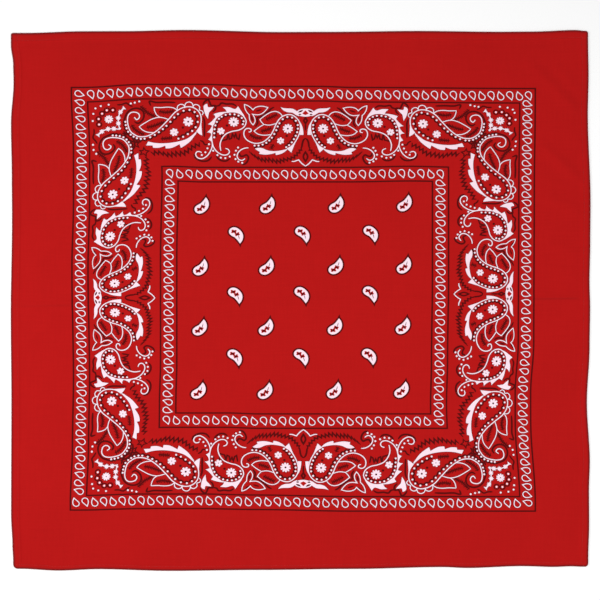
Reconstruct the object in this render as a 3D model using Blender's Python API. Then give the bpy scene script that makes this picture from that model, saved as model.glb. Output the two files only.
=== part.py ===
"""Square cotton bandana laid flat: one printed panel and the four stitched hems round it.

Metres, +Z up. The origin is on the surface that the cloth lies on, under the middle of the cloth.
+X runs along the width and +Y towards the top edge. Every piece is drawn first on a plain
rectangle, the cut square, and then moved onto the real outline by the edge waves and corner arcs.
"""
from collections import namedtuple
import math

import bmesh
import bpy

# Finished size of the cloth, over its outermost points
WIDTH = 0.5590
LENGTH = 0.5214
HALF_WIDTH = WIDTH / 2
HALF_LENGTH = LENGTH / 2

# Thicknesses of the cloth wall
PANEL_TOP = 0.0013
THINNEST_WALL = 0.0010
THICKEST_WALL = 0.0029
HEM_TOP = 0.0019
HEM_RIM = 0.0006

# Turned hem
SEAM_GAP = 0.00033
HEM_ROLL = 0.0040
STITCH_FROM_FOLD = 0.0017
STITCH_DEPTH = 0.0003
STITCH_SPREAD = 0.0008
HemWidth = namedtuple("HemWidth", "left right bottom top")
HEM_WIDTH = HemWidth(left=0.0080, right=0.0080, bottom=0.0060, top=0.0090)

# How far into the cloth the waves of an edge are felt
WAVE_REACH = 0.050

# Rounding of the four corners, seen from above
CornerArc = namedtuple("CornerArc", "side_x side_y radius")
CORNER_ARCS = (
    CornerArc(-1, -1, 0.0045),
    CornerArc(1, -1, 0.0035),
    CornerArc(-1, 1, 0.0016),
    CornerArc(1, 1, 0.0024),
)

# Waves of each edge: how far the real edge lies inside the widest point, in millimetres,
# at a place along that edge, counted from its middle
EdgeWave = namedtuple("EdgeWave", "along inward")
LEFT_WAVE = (
    EdgeWave(-252.5, 2.3),
    EdgeWave(-237.0, 1.6),
    EdgeWave(-206.0, 0.3),
    EdgeWave(-98.0, 0.6),
    EdgeWave(-13.5, 0.0),
    EdgeWave(79.0, 1.2),
    EdgeWave(118.0, 1.0),
    EdgeWave(171.5, 0.2),
    EdgeWave(210.0, 2.7),
    EdgeWave(229.0, 2.3),
    EdgeWave(248.5, 0.1),
)
RIGHT_WAVE = (
    EdgeWave(-252.0, 2.2),
    EdgeWave(-214.0, 1.3),
    EdgeWave(-183.0, 1.5),
    EdgeWave(-155.0, 0.7),
    EdgeWave(-98.5, 3.5),
    EdgeWave(-44.0, 0.9),
    EdgeWave(-6.0, 0.4),
    EdgeWave(17.5, 1.0),
    EdgeWave(56.0, 0.3),
    EdgeWave(94.5, 0.0),
    EdgeWave(179.5, 2.6),
    EdgeWave(218.0, 1.9),
    EdgeWave(252.0, 2.4),
)
BOTTOM_WAVE = (
    EdgeWave(-272.0, 2.0),
    EdgeWave(-233.5, 0.3),
    EdgeWave(-195.0, 1.7),
    EdgeWave(-125.5, 0.0),
    EdgeWave(-40.0, 0.9),
    EdgeWave(52.0, 1.9),
    EdgeWave(137.0, 3.7),
    EdgeWave(160.0, 2.8),
    EdgeWave(214.0, 4.6),
    EdgeWave(244.5, 3.8),
    EdgeWave(262.0, 4.4),
    EdgeWave(274.0, 4.0),
)
TOP_WAVE = (
    EdgeWave(-264.0, 2.8),
    EdgeWave(-210.0, 1.2),
    EdgeWave(-171.5, 1.1),
    EdgeWave(-110.0, 0.0),
    EdgeWave(-17.5, 2.0),
    EdgeWave(28.5, 1.8),
    EdgeWave(113.5, 0.9),
    EdgeWave(190.5, 1.7),
    EdgeWave(221.5, 1.5),
    EdgeWave(267.5, 0.0),
    EdgeWave(276.0, 0.8),
)
MILLIMETRE = 0.001

# Fold lines and wrinkles in the panel: a soft ridge, or a trough where the rise is negative,
# from one end to the other, in metres. Spread is the half width of the ridge.
Crease = namedtuple("Crease", "from_x from_y to_x to_y rise spread")
CREASES = (
    Crease(-0.2800, -0.0055, 0.2800, 0.0023, 0.0009, 0.0042),   # middle fold across
    Crease(0.0060, -0.2610, 0.0035, 0.2610, 0.0006, 0.0045),    # middle fold down
    Crease(0.1500, -0.2500, 0.1530, 0.2550, -0.0003, 0.0060),   # right quarter fold
    Crease(-0.1330, -0.2500, -0.1350, 0.2550, 0.0004, 0.0060),  # left quarter fold
    Crease(0.2366, -0.2450, 0.2366, -0.1850, 0.0005, 0.0040),   # short fold at lower right
    Crease(0.2150, 0.2400, 0.2720, 0.1830, 0.0010, 0.0090),     # three wrinkles at upper right
    Crease(0.2250, 0.1670, 0.2720, 0.1160, 0.0010, 0.0090),
    Crease(0.2370, 0.0870, 0.2700, 0.0560, 0.0007, 0.0085),
    Crease(-0.2280, 0.0500, -0.2610, -0.0030, 0.0006, 0.0090),  # wrinkles on the left border
    Crease(-0.2360, -0.0180, -0.2650, -0.0480, 0.0005, 0.0090),
    Crease(-0.2320, -0.1010, -0.2680, -0.1080, 0.0005, 0.0080),
    Crease(0.2400, -0.1650, 0.2680, -0.1600, 0.0004, 0.0080),   # wrinkle on the right border
)
CREASE_END_FADE = 0.018
CREASE_CUT_OFF = 3.0
CREASE_OVER_HEM = 0.6

# Spacing of the lines that the cloth is drawn on, finer along folds and wrinkles
PLAIN_STEP = 0.0135
FineBand = namedtuple("FineBand", "low high step")
FINE_COLUMNS = (
    FineBand(-0.0060, 0.0160, 0.0037),
    FineBand(0.2120, 0.2720, 0.0075),
    FineBand(-0.2700, -0.2250, 0.0090),
)
FINE_ROWS = (
    FineBand(-0.0130, 0.0100, 0.0038),
    FineBand(0.0500, 0.2400, 0.0095),
)
CLOSEST_LINES = 0.0020
HEM_LINES = (0.0, 0.0007, 0.0018, 0.0034)

SHARP_ANGLE = math.radians(40)

Finish = namedtuple("Finish", "colour roughness metallic")
PANEL_FINISH = Finish((0.480, 0.012, 0.011, 1.0), 0.88, 0.0)
HEM_FINISH = Finish((0.400, 0.010, 0.010, 1.0), 0.88, 0.0)


def clear_scene():
    """Remove every object that the file opened with."""
    for old in list(bpy.data.objects):
        bpy.data.objects.remove(old, do_unlink=True)


def smoothstep(value):
    """Ease from 0 to 1, flat at both ends."""
    value = min(max(value, 0.0), 1.0)
    return value * value * (3.0 - 2.0 * value)


def edge_inward(wave, along):
    """Distance that an edge lies inside its widest point, at a place along it, in metres."""
    place = along / MILLIMETRE
    if place <= wave[0].along:
        return wave[0].inward * MILLIMETRE
    for before, after in zip(wave, wave[1:]):
        if place <= after.along:
            share = smoothstep((place - before.along) / (after.along - before.along))
            return (before.inward + (after.inward - before.inward) * share) * MILLIMETRE
    return wave[-1].inward * MILLIMETRE


def round_corner(x, y):
    """Draw a point near a corner of the rectangle in, so that the corner becomes an arc."""
    for arc in CORNER_ARCS:
        from_x = x * arc.side_x - (HALF_WIDTH - arc.radius)
        from_y = y * arc.side_y - (HALF_LENGTH - arc.radius)
        if from_x > 0.0 and from_y > 0.0:
            shrink = max(from_x, from_y) / math.hypot(from_x, from_y)
            x = arc.side_x * (HALF_WIDTH - arc.radius + from_x * shrink)
            y = arc.side_y * (HALF_LENGTH - arc.radius + from_y * shrink)
    return x, y


def on_cloth(x, y):
    """Move a point of the plain rectangle to its place on the cloth as it lies."""
    x, y = round_corner(x, y)
    reach_left = 1.0 - smoothstep((x + HALF_WIDTH) / WAVE_REACH)
    reach_right = 1.0 - smoothstep((HALF_WIDTH - x) / WAVE_REACH)
    reach_bottom = 1.0 - smoothstep((y + HALF_LENGTH) / WAVE_REACH)
    reach_top = 1.0 - smoothstep((HALF_LENGTH - y) / WAVE_REACH)
    moved_x = x + reach_left * edge_inward(LEFT_WAVE, y) - reach_right * edge_inward(RIGHT_WAVE, y)
    moved_y = y + reach_bottom * edge_inward(BOTTOM_WAVE, x) - reach_top * edge_inward(TOP_WAVE, x)
    return moved_x, moved_y


def crease_rise(x, y):
    """Height that the folds and wrinkles add at a point of the cloth."""
    rise = 0.0
    for crease in CREASES:
        run_x = crease.to_x - crease.from_x
        run_y = crease.to_y - crease.from_y
        run = math.hypot(run_x, run_y)
        along = ((x - crease.from_x) * run_x + (y - crease.from_y) * run_y) / run
        across = ((y - crease.from_y) * run_x - (x - crease.from_x) * run_y) / run
        if abs(across) > CREASE_CUT_OFF * crease.spread:
            continue
        fade = smoothstep(along / CREASE_END_FADE) * smoothstep((run - along) / CREASE_END_FADE)
        rise += crease.rise * fade * math.exp(-(across / crease.spread) ** 2)
    return rise


def panel_height(x, y):
    """Top of the panel over the surface that it lies on."""
    return min(max(PANEL_TOP + crease_rise(x, y), THINNEST_WALL), THICKEST_WALL)


def hem_height(x, y):
    """Top of the turned hems: rolled over at the outer fold, dented along the stitches."""
    insets = HemWidth(left=x + HALF_WIDTH, right=HALF_WIDTH - x,
                      bottom=y + HALF_LENGTH, top=HALF_LENGTH - y)
    rolled = 1.0 - min(max(min(insets), 0.0) / HEM_ROLL, 1.0)
    height = HEM_RIM + (HEM_TOP - HEM_RIM) * math.sqrt(1.0 - rolled * rolled)
    for inset, width in zip(insets, HEM_WIDTH):
        from_stitch = (inset - (width - STITCH_FROM_FOLD)) / STITCH_SPREAD
        height -= STITCH_DEPTH * math.exp(-from_stitch ** 2)
    rise = CREASE_OVER_HEM * (1.0 - rolled) * crease_rise(x, y)
    return min(height + rise, THICKEST_WALL)


def drawing_lines(low, high, fine_bands, waves):
    """Places of the lines from low to high: plain steps, fine bands, and the edge wave's turns."""
    kept = [low, high]
    turns = [point.along * MILLIMETRE for wave in waves for point in wave]
    stepped = [low]
    while stepped[-1] < high:
        step = PLAIN_STEP
        for band in fine_bands:
            if band.low <= stepped[-1] < band.high:
                step = band.step
        stepped.append(stepped[-1] + step)
    for place in turns + stepped:
        if low < place < high and min(abs(place - other) for other in kept) > CLOSEST_LINES:
            kept.append(place)
    return sorted(kept)


def hem_lines(width):
    """Places of the lines across a hem, from its outer fold to the seam at the panel."""
    stitch = width - STITCH_FROM_FOLD
    return list(HEM_LINES) + [stitch - STITCH_SPREAD, stitch, stitch + STITCH_SPREAD, width]


def plain_material(name, finish):
    """A Principled material of one colour."""
    material = bpy.data.materials.new(name)
    material.use_nodes = True
    shader = material.node_tree.nodes["Principled BSDF"]
    shader.inputs["Base Color"].default_value = finish.colour
    shader.inputs["Roughness"].default_value = finish.roughness
    shader.inputs["Metallic"].default_value = finish.metallic
    material.diffuse_color = finish.colour
    return material


def make_wall(name, columns, rows, height, finish):
    """One closed piece of cloth: a relief on top, upright sides and a flat underside.

    The top is a grid drawn on the rectangle at the given columns and rows. Its border is
    extruded down to the surface and closed there.
    """
    mesh = bmesh.new()
    across = len(columns) - 1
    along = len(rows) - 1
    bmesh.ops.create_grid(mesh, x_segments=across, y_segments=along, size=1.0)
    for vertex in mesh.verts:
        x = columns[round((vertex.co.x + 1.0) / 2.0 * across)]
        y = rows[round((vertex.co.y + 1.0) / 2.0 * along)]
        vertex.co.x, vertex.co.y = on_cloth(x, y)
        vertex.co.z = height(x, y)
    border = [edge for edge in mesh.edges if edge.is_boundary]
    sides = bmesh.ops.extrude_edge_only(mesh, edges=border)["geom"]
    for vertex in (item for item in sides if isinstance(item, bmesh.types.BMVert)):
        vertex.co.z = 0.0
    underside = [edge for edge in mesh.edges if edge.is_boundary]
    bmesh.ops.edgeloop_fill(mesh, edges=underside)
    bmesh.ops.recalc_face_normals(mesh, faces=mesh.faces)
    data = bpy.data.meshes.new(name)
    mesh.to_mesh(data)
    mesh.free()
    data.shade_smooth()
    data.set_sharp_from_angle(angle=SHARP_ANGLE)
    piece = bpy.data.objects.new(name, data)
    piece.data.materials.append(plain_material(name, finish))
    bpy.context.scene.collection.objects.link(piece)
    return piece


def make_panel():
    """The printed square inside the hems."""
    columns = drawing_lines(-HALF_WIDTH + HEM_WIDTH.left + SEAM_GAP,
                            HALF_WIDTH - HEM_WIDTH.right - SEAM_GAP,
                            FINE_COLUMNS, (BOTTOM_WAVE, TOP_WAVE))
    rows = drawing_lines(-HALF_LENGTH + HEM_WIDTH.bottom + SEAM_GAP,
                         HALF_LENGTH - HEM_WIDTH.top - SEAM_GAP,
                         FINE_ROWS, (LEFT_WAVE, RIGHT_WAVE))
    return make_wall("panel", columns, rows, panel_height, PANEL_FINISH)


def with_ends(lines, low, high):
    """Give a hem's lengthwise lines the close lines that its two rolled ends need."""
    ends = [low + inset for inset in HEM_LINES] + [high - inset for inset in HEM_LINES]
    inner = [place for place in lines if low + HEM_ROLL < place < high - HEM_ROLL]
    return sorted(ends + inner)


def make_long_hems():
    """The bottom and top hems, which run over the full width."""
    columns = drawing_lines(-HALF_WIDTH, HALF_WIDTH, FINE_COLUMNS, (BOTTOM_WAVE, TOP_WAVE))
    columns = with_ends(columns, -HALF_WIDTH, HALF_WIDTH)
    from_bottom = [-HALF_LENGTH + inset for inset in hem_lines(HEM_WIDTH.bottom)]
    from_top = [HALF_LENGTH - inset for inset in reversed(hem_lines(HEM_WIDTH.top))]
    make_wall("hem_bottom", columns, from_bottom, hem_height, HEM_FINISH)
    make_wall("hem_top", columns, from_top, hem_height, HEM_FINISH)


def make_side_hems():
    """The left and right hems, between the bottom and top ones."""
    rows = drawing_lines(-HALF_LENGTH + HEM_WIDTH.bottom + SEAM_GAP,
                         HALF_LENGTH - HEM_WIDTH.top - SEAM_GAP,
                         FINE_ROWS, (LEFT_WAVE, RIGHT_WAVE))
    from_left = [-HALF_WIDTH + inset for inset in hem_lines(HEM_WIDTH.left)]
    from_right = [HALF_WIDTH - inset for inset in reversed(hem_lines(HEM_WIDTH.right))]
    make_wall("hem_left", from_left, rows, hem_height, HEM_FINISH)
    make_wall("hem_right", from_right, rows, hem_height, HEM_FINISH)


def main():
    """Build the bandana."""
    clear_scene()
    make_panel()
    make_long_hems()
    make_side_hems()


main()
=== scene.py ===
"""The looks of a square red cotton bandana laid flat: cloth, turned hems, stitching and print.

Metres, +Z up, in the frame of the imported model: the origin is on the surface that the cloth lies
on, under the middle of the cloth, +X along its width and +Y towards its top edge.

The print is charted in millimetres on an ideal square and then laid on the cloth, which is a
little shorter than it is wide and waves at its edges. White and black ink are thin films that
follow the folds of the cloth.
"""
import bisect
import logging
import math
from dataclasses import dataclass, field, replace
from enum import Enum, IntEnum
from typing import Callable, Iterable, Iterator, Sequence

import bmesh
import bpy
from mathutils import Matrix, Vector, noise
from mathutils.geometry import delaunay_2d_cdt


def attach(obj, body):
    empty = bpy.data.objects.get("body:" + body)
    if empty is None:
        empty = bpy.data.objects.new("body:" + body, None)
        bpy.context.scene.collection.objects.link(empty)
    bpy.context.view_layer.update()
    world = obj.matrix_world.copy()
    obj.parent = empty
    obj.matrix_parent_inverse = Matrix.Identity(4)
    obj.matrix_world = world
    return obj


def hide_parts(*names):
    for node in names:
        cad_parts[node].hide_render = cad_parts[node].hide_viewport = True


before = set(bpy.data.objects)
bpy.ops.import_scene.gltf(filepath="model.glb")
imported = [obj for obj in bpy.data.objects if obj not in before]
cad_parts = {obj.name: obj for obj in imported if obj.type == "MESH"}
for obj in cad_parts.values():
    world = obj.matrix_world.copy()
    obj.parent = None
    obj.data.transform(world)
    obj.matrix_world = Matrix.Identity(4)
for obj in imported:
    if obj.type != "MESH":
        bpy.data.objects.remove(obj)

log = logging.getLogger("bandana")

MM = 0.001
SHARP_ANGLE = math.radians(40)
# How close two numbers lie that count as the same: along a line, between points, and in metres
NO_STEP = 1e-4
NO_GAP = 1e-6
NO_TURN = 1e-3
SAME_PLACE = 1e-7
# The width of cloth, in metres, that the square map of a print film covers
MAP_SPAN = 0.5

Pair = tuple[float, float]
Triple = tuple[float, float, float]
Colour = tuple[float, float, float, float]


def eased(value: float) -> float:
    """Ease from 0 to 1, flat at both ends."""
    value = min(max(value, 0.0), 1.0)
    return value * value * (3.0 - 2.0 * value)


@dataclass(frozen=True)
class Course:
    """A value that changes from station to station along a line, both in millimetres."""

    stations: tuple[Pair, ...]
    straight: bool = False

    def at(self, place: float) -> float:
        """Give the value at one place.

        Args:
            place: where along the line, in millimetres.

        Returns:
            The value there, eased between stations. A straight course goes on beyond its ends.
        """
        stations = self.stations
        index = bisect.bisect_right(stations, (place, math.inf))
        if self.straight:
            index = min(max(index, 1), len(stations) - 1)
        elif index in (0, len(stations)):
            return stations[min(index, len(stations) - 1)][1]
        (low, before), (high, after) = stations[index - 1], stations[index]
        share = (place - low) / (high - low)
        return before + (after - before) * (share if self.straight else eased(share))


# ---- Form of the cloth ----

@dataclass(frozen=True)
class Crease:
    """A fold line or wrinkle: a soft ridge, or a trough where the rise is negative, in metres."""

    from_x: float
    from_y: float
    to_x: float
    to_y: float
    rise: float
    spread: float
    fade: float = 0.018
    reach: float = 3.0

    def height(self, x: float, y: float) -> float:
        """Give the height that the crease adds at a point of the cloth."""
        run_x, run_y = self.to_x - self.from_x, self.to_y - self.from_y
        run = math.hypot(run_x, run_y)
        across = ((y - self.from_y) * run_x - (x - self.from_x) * run_y) / run
        if abs(across) > self.reach * self.spread:
            return 0.0
        along = ((x - self.from_x) * run_x + (y - self.from_y) * run_y) / run
        share = eased(along / self.fade) * eased((run - along) / self.fade)
        return self.rise * share * math.exp(-(across / self.spread) ** 2)


class Side(Enum):
    """The four sides of the cloth, each with the direction that points outwards."""

    LEFT = (-1, 0)
    RIGHT = (1, 0)
    BOTTOM = (0, -1)
    TOP = (0, 1)


@dataclass(frozen=True)
class ClothForm:
    """Outline and relief of the bandana as it lies."""

    width: float = 0.5590
    length: float = 0.5214
    panel_top: float = 0.0013
    thinnest: float = 0.0010
    thickest: float = 0.0029
    hem_top: float = 0.0019
    hem_rim: float = 0.0006
    hem_roll: float = 0.0040
    stitch_from_fold: float = 0.0017
    stitch_depth: float = 0.0003
    stitch_spread: float = 0.0008
    hem_step: float = 0.0016
    hem_step_outside: float = 0.4
    wave_reach: float = 0.050
    crease_over_hem: float = 0.6
    hem_widths: tuple[tuple[Side, float], ...] = (
        (Side.LEFT, 0.0080), (Side.RIGHT, 0.0080), (Side.BOTTOM, 0.0060), (Side.TOP, 0.0090))
    corner_arcs: tuple[tuple[int, int, float], ...] = (
        (-1, -1, 0.0045), (1, -1, 0.0035), (-1, 1, 0.0016), (1, 1, 0.0024))
    left_wave: Course = Course((
        (-252.5, 2.3), (-237.0, 1.6), (-206.0, 0.3), (-98.0, 0.6), (-13.5, 0.0), (79.0, 1.2),
        (118.0, 1.0), (171.5, 0.2), (210.0, 2.7), (229.0, 2.3), (248.5, 0.1)))
    right_wave: Course = Course((
        (-252.0, 2.2), (-214.0, 1.3), (-183.0, 1.5), (-155.0, 0.7), (-98.5, 3.5), (-44.0, 0.9),
        (-6.0, 0.4), (17.5, 1.0), (56.0, 0.3), (94.5, 0.0), (179.5, 2.6), (218.0, 1.9),
        (252.0, 2.4)))
    bottom_wave: Course = Course((
        (-272.0, 2.0), (-233.5, 0.3), (-195.0, 1.7), (-125.5, 0.0), (-40.0, 0.9), (52.0, 1.9),
        (137.0, 3.7), (160.0, 2.8), (214.0, 4.6), (244.5, 3.8), (262.0, 4.4), (274.0, 4.0)))
    top_wave: Course = Course((
        (-264.0, 2.8), (-210.0, 1.2), (-171.5, 1.1), (-110.0, 0.0), (-17.5, 2.0), (28.5, 1.8),
        (113.5, 0.9), (190.5, 1.7), (221.5, 1.5), (267.5, 0.0), (276.0, 0.8)))
    creases: tuple[Crease, ...] = (
        Crease(-0.2800, -0.0055, 0.2800, 0.0023, 0.0007, 0.0042),   # middle fold across
        Crease(0.0060, -0.2610, 0.0035, 0.2610, 0.0002, 0.0045),    # middle fold down
        Crease(0.1500, -0.2500, 0.1530, 0.2550, -0.0001, 0.0060),   # right quarter fold
        Crease(-0.1330, -0.2500, -0.1350, 0.2550, 0.0001, 0.0060),  # left quarter fold
        Crease(0.2356, -0.2600, 0.2356, -0.2280, 0.0006, 0.0030),   # short fold at lower right
        Crease(0.2150, 0.2340, 0.2760, 0.1750, 0.0016, 0.0044),     # wrinkles at upper right
        Crease(0.2420, 0.2300, 0.2780, 0.1950, 0.0009, 0.0044),
        Crease(0.2250, 0.1563, 0.2780, 0.1082, 0.0016, 0.0044),
        Crease(0.2280, 0.1040, 0.2760, 0.0810, 0.0011, 0.0050),
        Crease(0.2340, 0.0560, 0.2760, 0.0400, 0.0008, 0.0055),
        Crease(-0.2260, 0.0670, -0.2700, 0.0230, 0.0014, 0.0050),   # wrinkles on the left border
        Crease(-0.2300, -0.0110, -0.2740, -0.0450, 0.0013, 0.0055),
        Crease(-0.2300, -0.1010, -0.2720, -0.1090, 0.0007, 0.0060),
        Crease(-0.2760, -0.1390, -0.2340, -0.1740, 0.0012, 0.0055),
        Crease(0.2400, -0.1650, 0.2680, -0.1600, 0.0004, 0.0080),   # wrinkle on the right border
    )
    pressed_lines: tuple[Crease, ...] = (
        Crease(-0.2760, -0.0054, 0.2760, 0.0022, -0.00022, 0.0011),
        Crease(0.0060, -0.2560, 0.0035, 0.2560, -0.00006, 0.0011),
    )
    # Where the painted shade of the pressed line across starts, out from the middle along the width
    pressed_shade_from: float = 0.2220
    unevenness: float = 0.00024
    # Waves of the soft unevenness in a metre of width and of length, and where its noise is read
    broad_ripple: Triple = (34.0, 30.0, 3.1)
    fine_ripple: Triple = (70.0, 62.0, 8.7)
    fine_start: float = 5.0
    fine_share: float = 0.45

    @property
    def half(self) -> Pair:
        """Half the width and half the length."""
        return self.width / 2, self.length / 2

    def hem_width(self, side: Side) -> float:
        """Give the width of one turned hem."""
        return dict(self.hem_widths)[side]

    def insets(self, x: float, y: float) -> dict[Side, float]:
        """Give the distances from a point of the plain rectangle to its four sides."""
        half_x, half_y = self.half
        return {Side.LEFT: x + half_x, Side.RIGHT: half_x - x,
                Side.BOTTOM: y + half_y, Side.TOP: half_y - y}

    def on_cloth(self, x: float, y: float) -> Pair:
        """Move a point of the plain rectangle to its place on the cloth as it lies.

        Args:
            x: place along the width of the rectangle.
            y: place along its length.

        Returns:
            The place inside the waved edges and rounded corners.
        """
        half_x, half_y = self.half
        for side_x, side_y, radius in self.corner_arcs:
            from_x = x * side_x - (half_x - radius)
            from_y = y * side_y - (half_y - radius)
            if from_x > 0.0 and from_y > 0.0:
                shrink = max(from_x, from_y) / math.hypot(from_x, from_y)
                x = side_x * (half_x - radius + from_x * shrink)
                y = side_y * (half_y - radius + from_y * shrink)
        reach = self.wave_reach
        left = (1.0 - eased((x + half_x) / reach)) * self.left_wave.at(y / MM) * MM
        right = (1.0 - eased((half_x - x) / reach)) * self.right_wave.at(y / MM) * MM
        bottom = (1.0 - eased((y + half_y) / reach)) * self.bottom_wave.at(x / MM) * MM
        top = (1.0 - eased((half_y - y) / reach)) * self.top_wave.at(x / MM) * MM
        return x + left - right, y + bottom - top

    def crease_rise(self, x: float, y: float) -> float:
        """Give the height that the broad folds and wrinkles add."""
        return sum(crease.height(x, y) for crease in self.creases)

    def ripple(self, x: float, y: float) -> float:
        """Give the soft unevenness of cotton that was folded and smoothed out by hand."""
        waves_x, waves_y, depth = self.broad_ripple
        broad = noise.noise(Vector((x * waves_x, y * waves_y, depth)))
        waves_x, waves_y, depth = self.fine_ripple
        fine = noise.noise(Vector((x * waves_x + self.fine_start, y * waves_y, depth)))
        return self.unevenness * (broad + self.fine_share * fine)

    def panel_height(self, x: float, y: float) -> float:
        """Give the top of the single cloth inside the hems."""
        rise = self.crease_rise(x, y) + self.ripple(x, y)
        rise += sum(line.height(x, y) for line in self.pressed_lines)
        return min(max(self.panel_top + rise, self.thinnest), self.thickest)

    def hem_height(self, x: float, y: float) -> float:
        """Give the top of a turned hem: rolled over at the fold and dented along the stitches."""
        insets = self.insets(x, y)
        rolled = 1.0 - min(max(min(insets.values()), 0.0) / self.hem_roll, 1.0)
        height = self.hem_rim + (self.hem_top - self.hem_rim) * math.sqrt(1.0 - rolled * rolled)
        for side, inset in insets.items():
            from_stitch = (inset - self.stitch_inset(side)) / self.stitch_spread
            height -= self.stitch_depth * math.exp(-from_stitch ** 2)
        rise = self.crease_over_hem * (1.0 - rolled) * (self.crease_rise(x, y) + self.ripple(x, y))
        return min(height + rise, self.thickest)

    def stitch_inset(self, side: Side) -> float:
        """Give how far the line of stitches lies inside the outer fold."""
        return self.hem_width(side) - self.stitch_from_fold

    def hem_share(self, x: float, y: float) -> float:
        """Give 1 on the hems, 0 on the single cloth, and the soft step between them."""
        outside = self.hem_step_outside * self.hem_step
        return max(1.0 - eased((inset - self.hem_width(side) + outside) / self.hem_step)
                   for side, inset in self.insets(x, y).items())

    def top(self, x: float, y: float) -> float:
        """Give the top of the cloth anywhere on the plain rectangle."""
        share = self.hem_share(x, y)
        if share <= 0.0:
            return self.panel_height(x, y)
        hem = self.hem_height(x, y)
        return hem if share >= 1.0 else hem * share + self.panel_height(x, y) * (1.0 - share)


# ---- Print: lines, marks and motifs, charted in millimetres ----

class Ink(Enum):
    """What a patch of the print leaves on the cloth."""

    GROUND = "ground"
    WHITE = "white"
    BLACK = "black"
    EDGE = "edge"


class Layer(IntEnum):
    """The order in which patches cover one another."""

    UNDER = 0
    MAIN = 1
    GAP = 2
    OVER = 3


@dataclass(frozen=True)
class Patch:
    """One simple outline of the print, filled with one ink."""

    outline: tuple[Vector, ...]
    ink: Ink
    layer: Layer


@dataclass(frozen=True)
class Flow:
    """A smooth line through a few points. A point that is given twice is a sharp corner."""

    points: tuple[Pair, ...]
    closed: bool = False
    step: float = 2.0
    turn: float = math.radians(17)

    def trace(self) -> list[Vector]:
        """Walk the line, with closer steps where it bends.

        Returns:
            The points passed, the first one again at the end where the line is closed.
        """
        points = [Vector(point) for point in self.points]
        if self.closed:
            corner = next((i for i, p in enumerate(points) if p == points[i - 1]), None)
            if corner is None:
                points.append(points[0])
                return self._walk(points, True)
            points = points[corner:] + points[:corner]
        runs = [[points[0]]]
        for before, after in zip(points, points[1:]):
            if before == after:
                runs.append([after])
            else:
                runs[-1].append(after)
        traced = [points[0]]
        for run in runs:
            if len(run) > 1:
                traced += self._walk(run, False)[1:]
        return traced

    def _walk(self, run: list[Vector], ring: bool) -> list[Vector]:
        """Walk one stretch without corners.

        Args:
            run: its points.
            ring: whether the stretch closes smoothly on itself.

        Returns:
            The points passed, both ends included.
        """
        chords = [after - before for before, after in zip(run, run[1:])]
        lengths = [chord.length for chord in chords]
        ways = [chord / length for chord, length in zip(chords, lengths)]
        if len(run) == 2:
            count = max(1, math.ceil(lengths[0] / self.step))
            return [run[0].lerp(run[1], i / count) for i in range(count + 1)]
        slopes = []
        for i in range(len(run)):
            if 0 < i < len(run) - 1 or ring:
                before, after = (i - 1) % len(ways), i % len(ways)
                whole = lengths[before] + lengths[after]
                slopes.append((ways[before] * lengths[after] + ways[after] * lengths[before]) / whole)
            else:
                slopes.append(None)
        if not ring:
            slopes[0] = 1.5 * ways[0] - 0.5 * slopes[1]
            slopes[-1] = 1.5 * ways[-1] - 0.5 * slopes[-2]
        traced = [run[0]]
        for i, length in enumerate(lengths):
            start, end = slopes[i], slopes[i + 1]
            bend = start.angle(ways[i], 0.0) + end.angle(ways[i], 0.0)
            count = max(1, math.ceil(length / self.step), math.ceil(bend / self.turn))
            for k in range(1, count + 1):
                t = k / count
                traced.append(run[i] * ((1 + 2 * t) * (1 - t) ** 2) + run[i + 1] * (t * t * (3 - 2 * t))
                              + start * (length * t * (1 - t) ** 2) - end * (length * t * t * (1 - t)))
        return traced


@dataclass
class Track:
    """A traced line on which marks are set out by the length walked."""

    points: list[Vector]
    walked: list[float] = field(init=False)

    def __post_init__(self) -> None:
        """Add up the lengths walked."""
        self.walked = [0.0]
        for before, after in zip(self.points, self.points[1:]):
            self.walked.append(self.walked[-1] + (after - before).length)

    @property
    def length(self) -> float:
        """Length of the whole line."""
        return self.walked[-1]

    def at(self, distance: float, side: float = 0.0) -> Vector:
        """Give the point at a walked distance, set off to the right-hand side of the line.

        Args:
            distance: length walked from the start.
            side: how far to the side, where the second coordinate counts downwards.

        Returns:
            The point.
        """
        index = min(max(bisect.bisect_right(self.walked, distance), 1), len(self.points) - 1)
        before, after = self.points[index - 1], self.points[index]
        chord = after - before
        share = (distance - self.walked[index - 1]) / chord.length
        way = chord.normalized()
        return before + chord * share + Vector((-way.y, way.x)) * side

    def nearest(self, point: Pair) -> float:
        """Give the walked distance of the line's point that lies nearest to a given one."""
        goal = Vector(point)
        index = min(range(len(self.points)), key=lambda i: (self.points[i] - goal).length)
        return self.walked[index]


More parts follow.
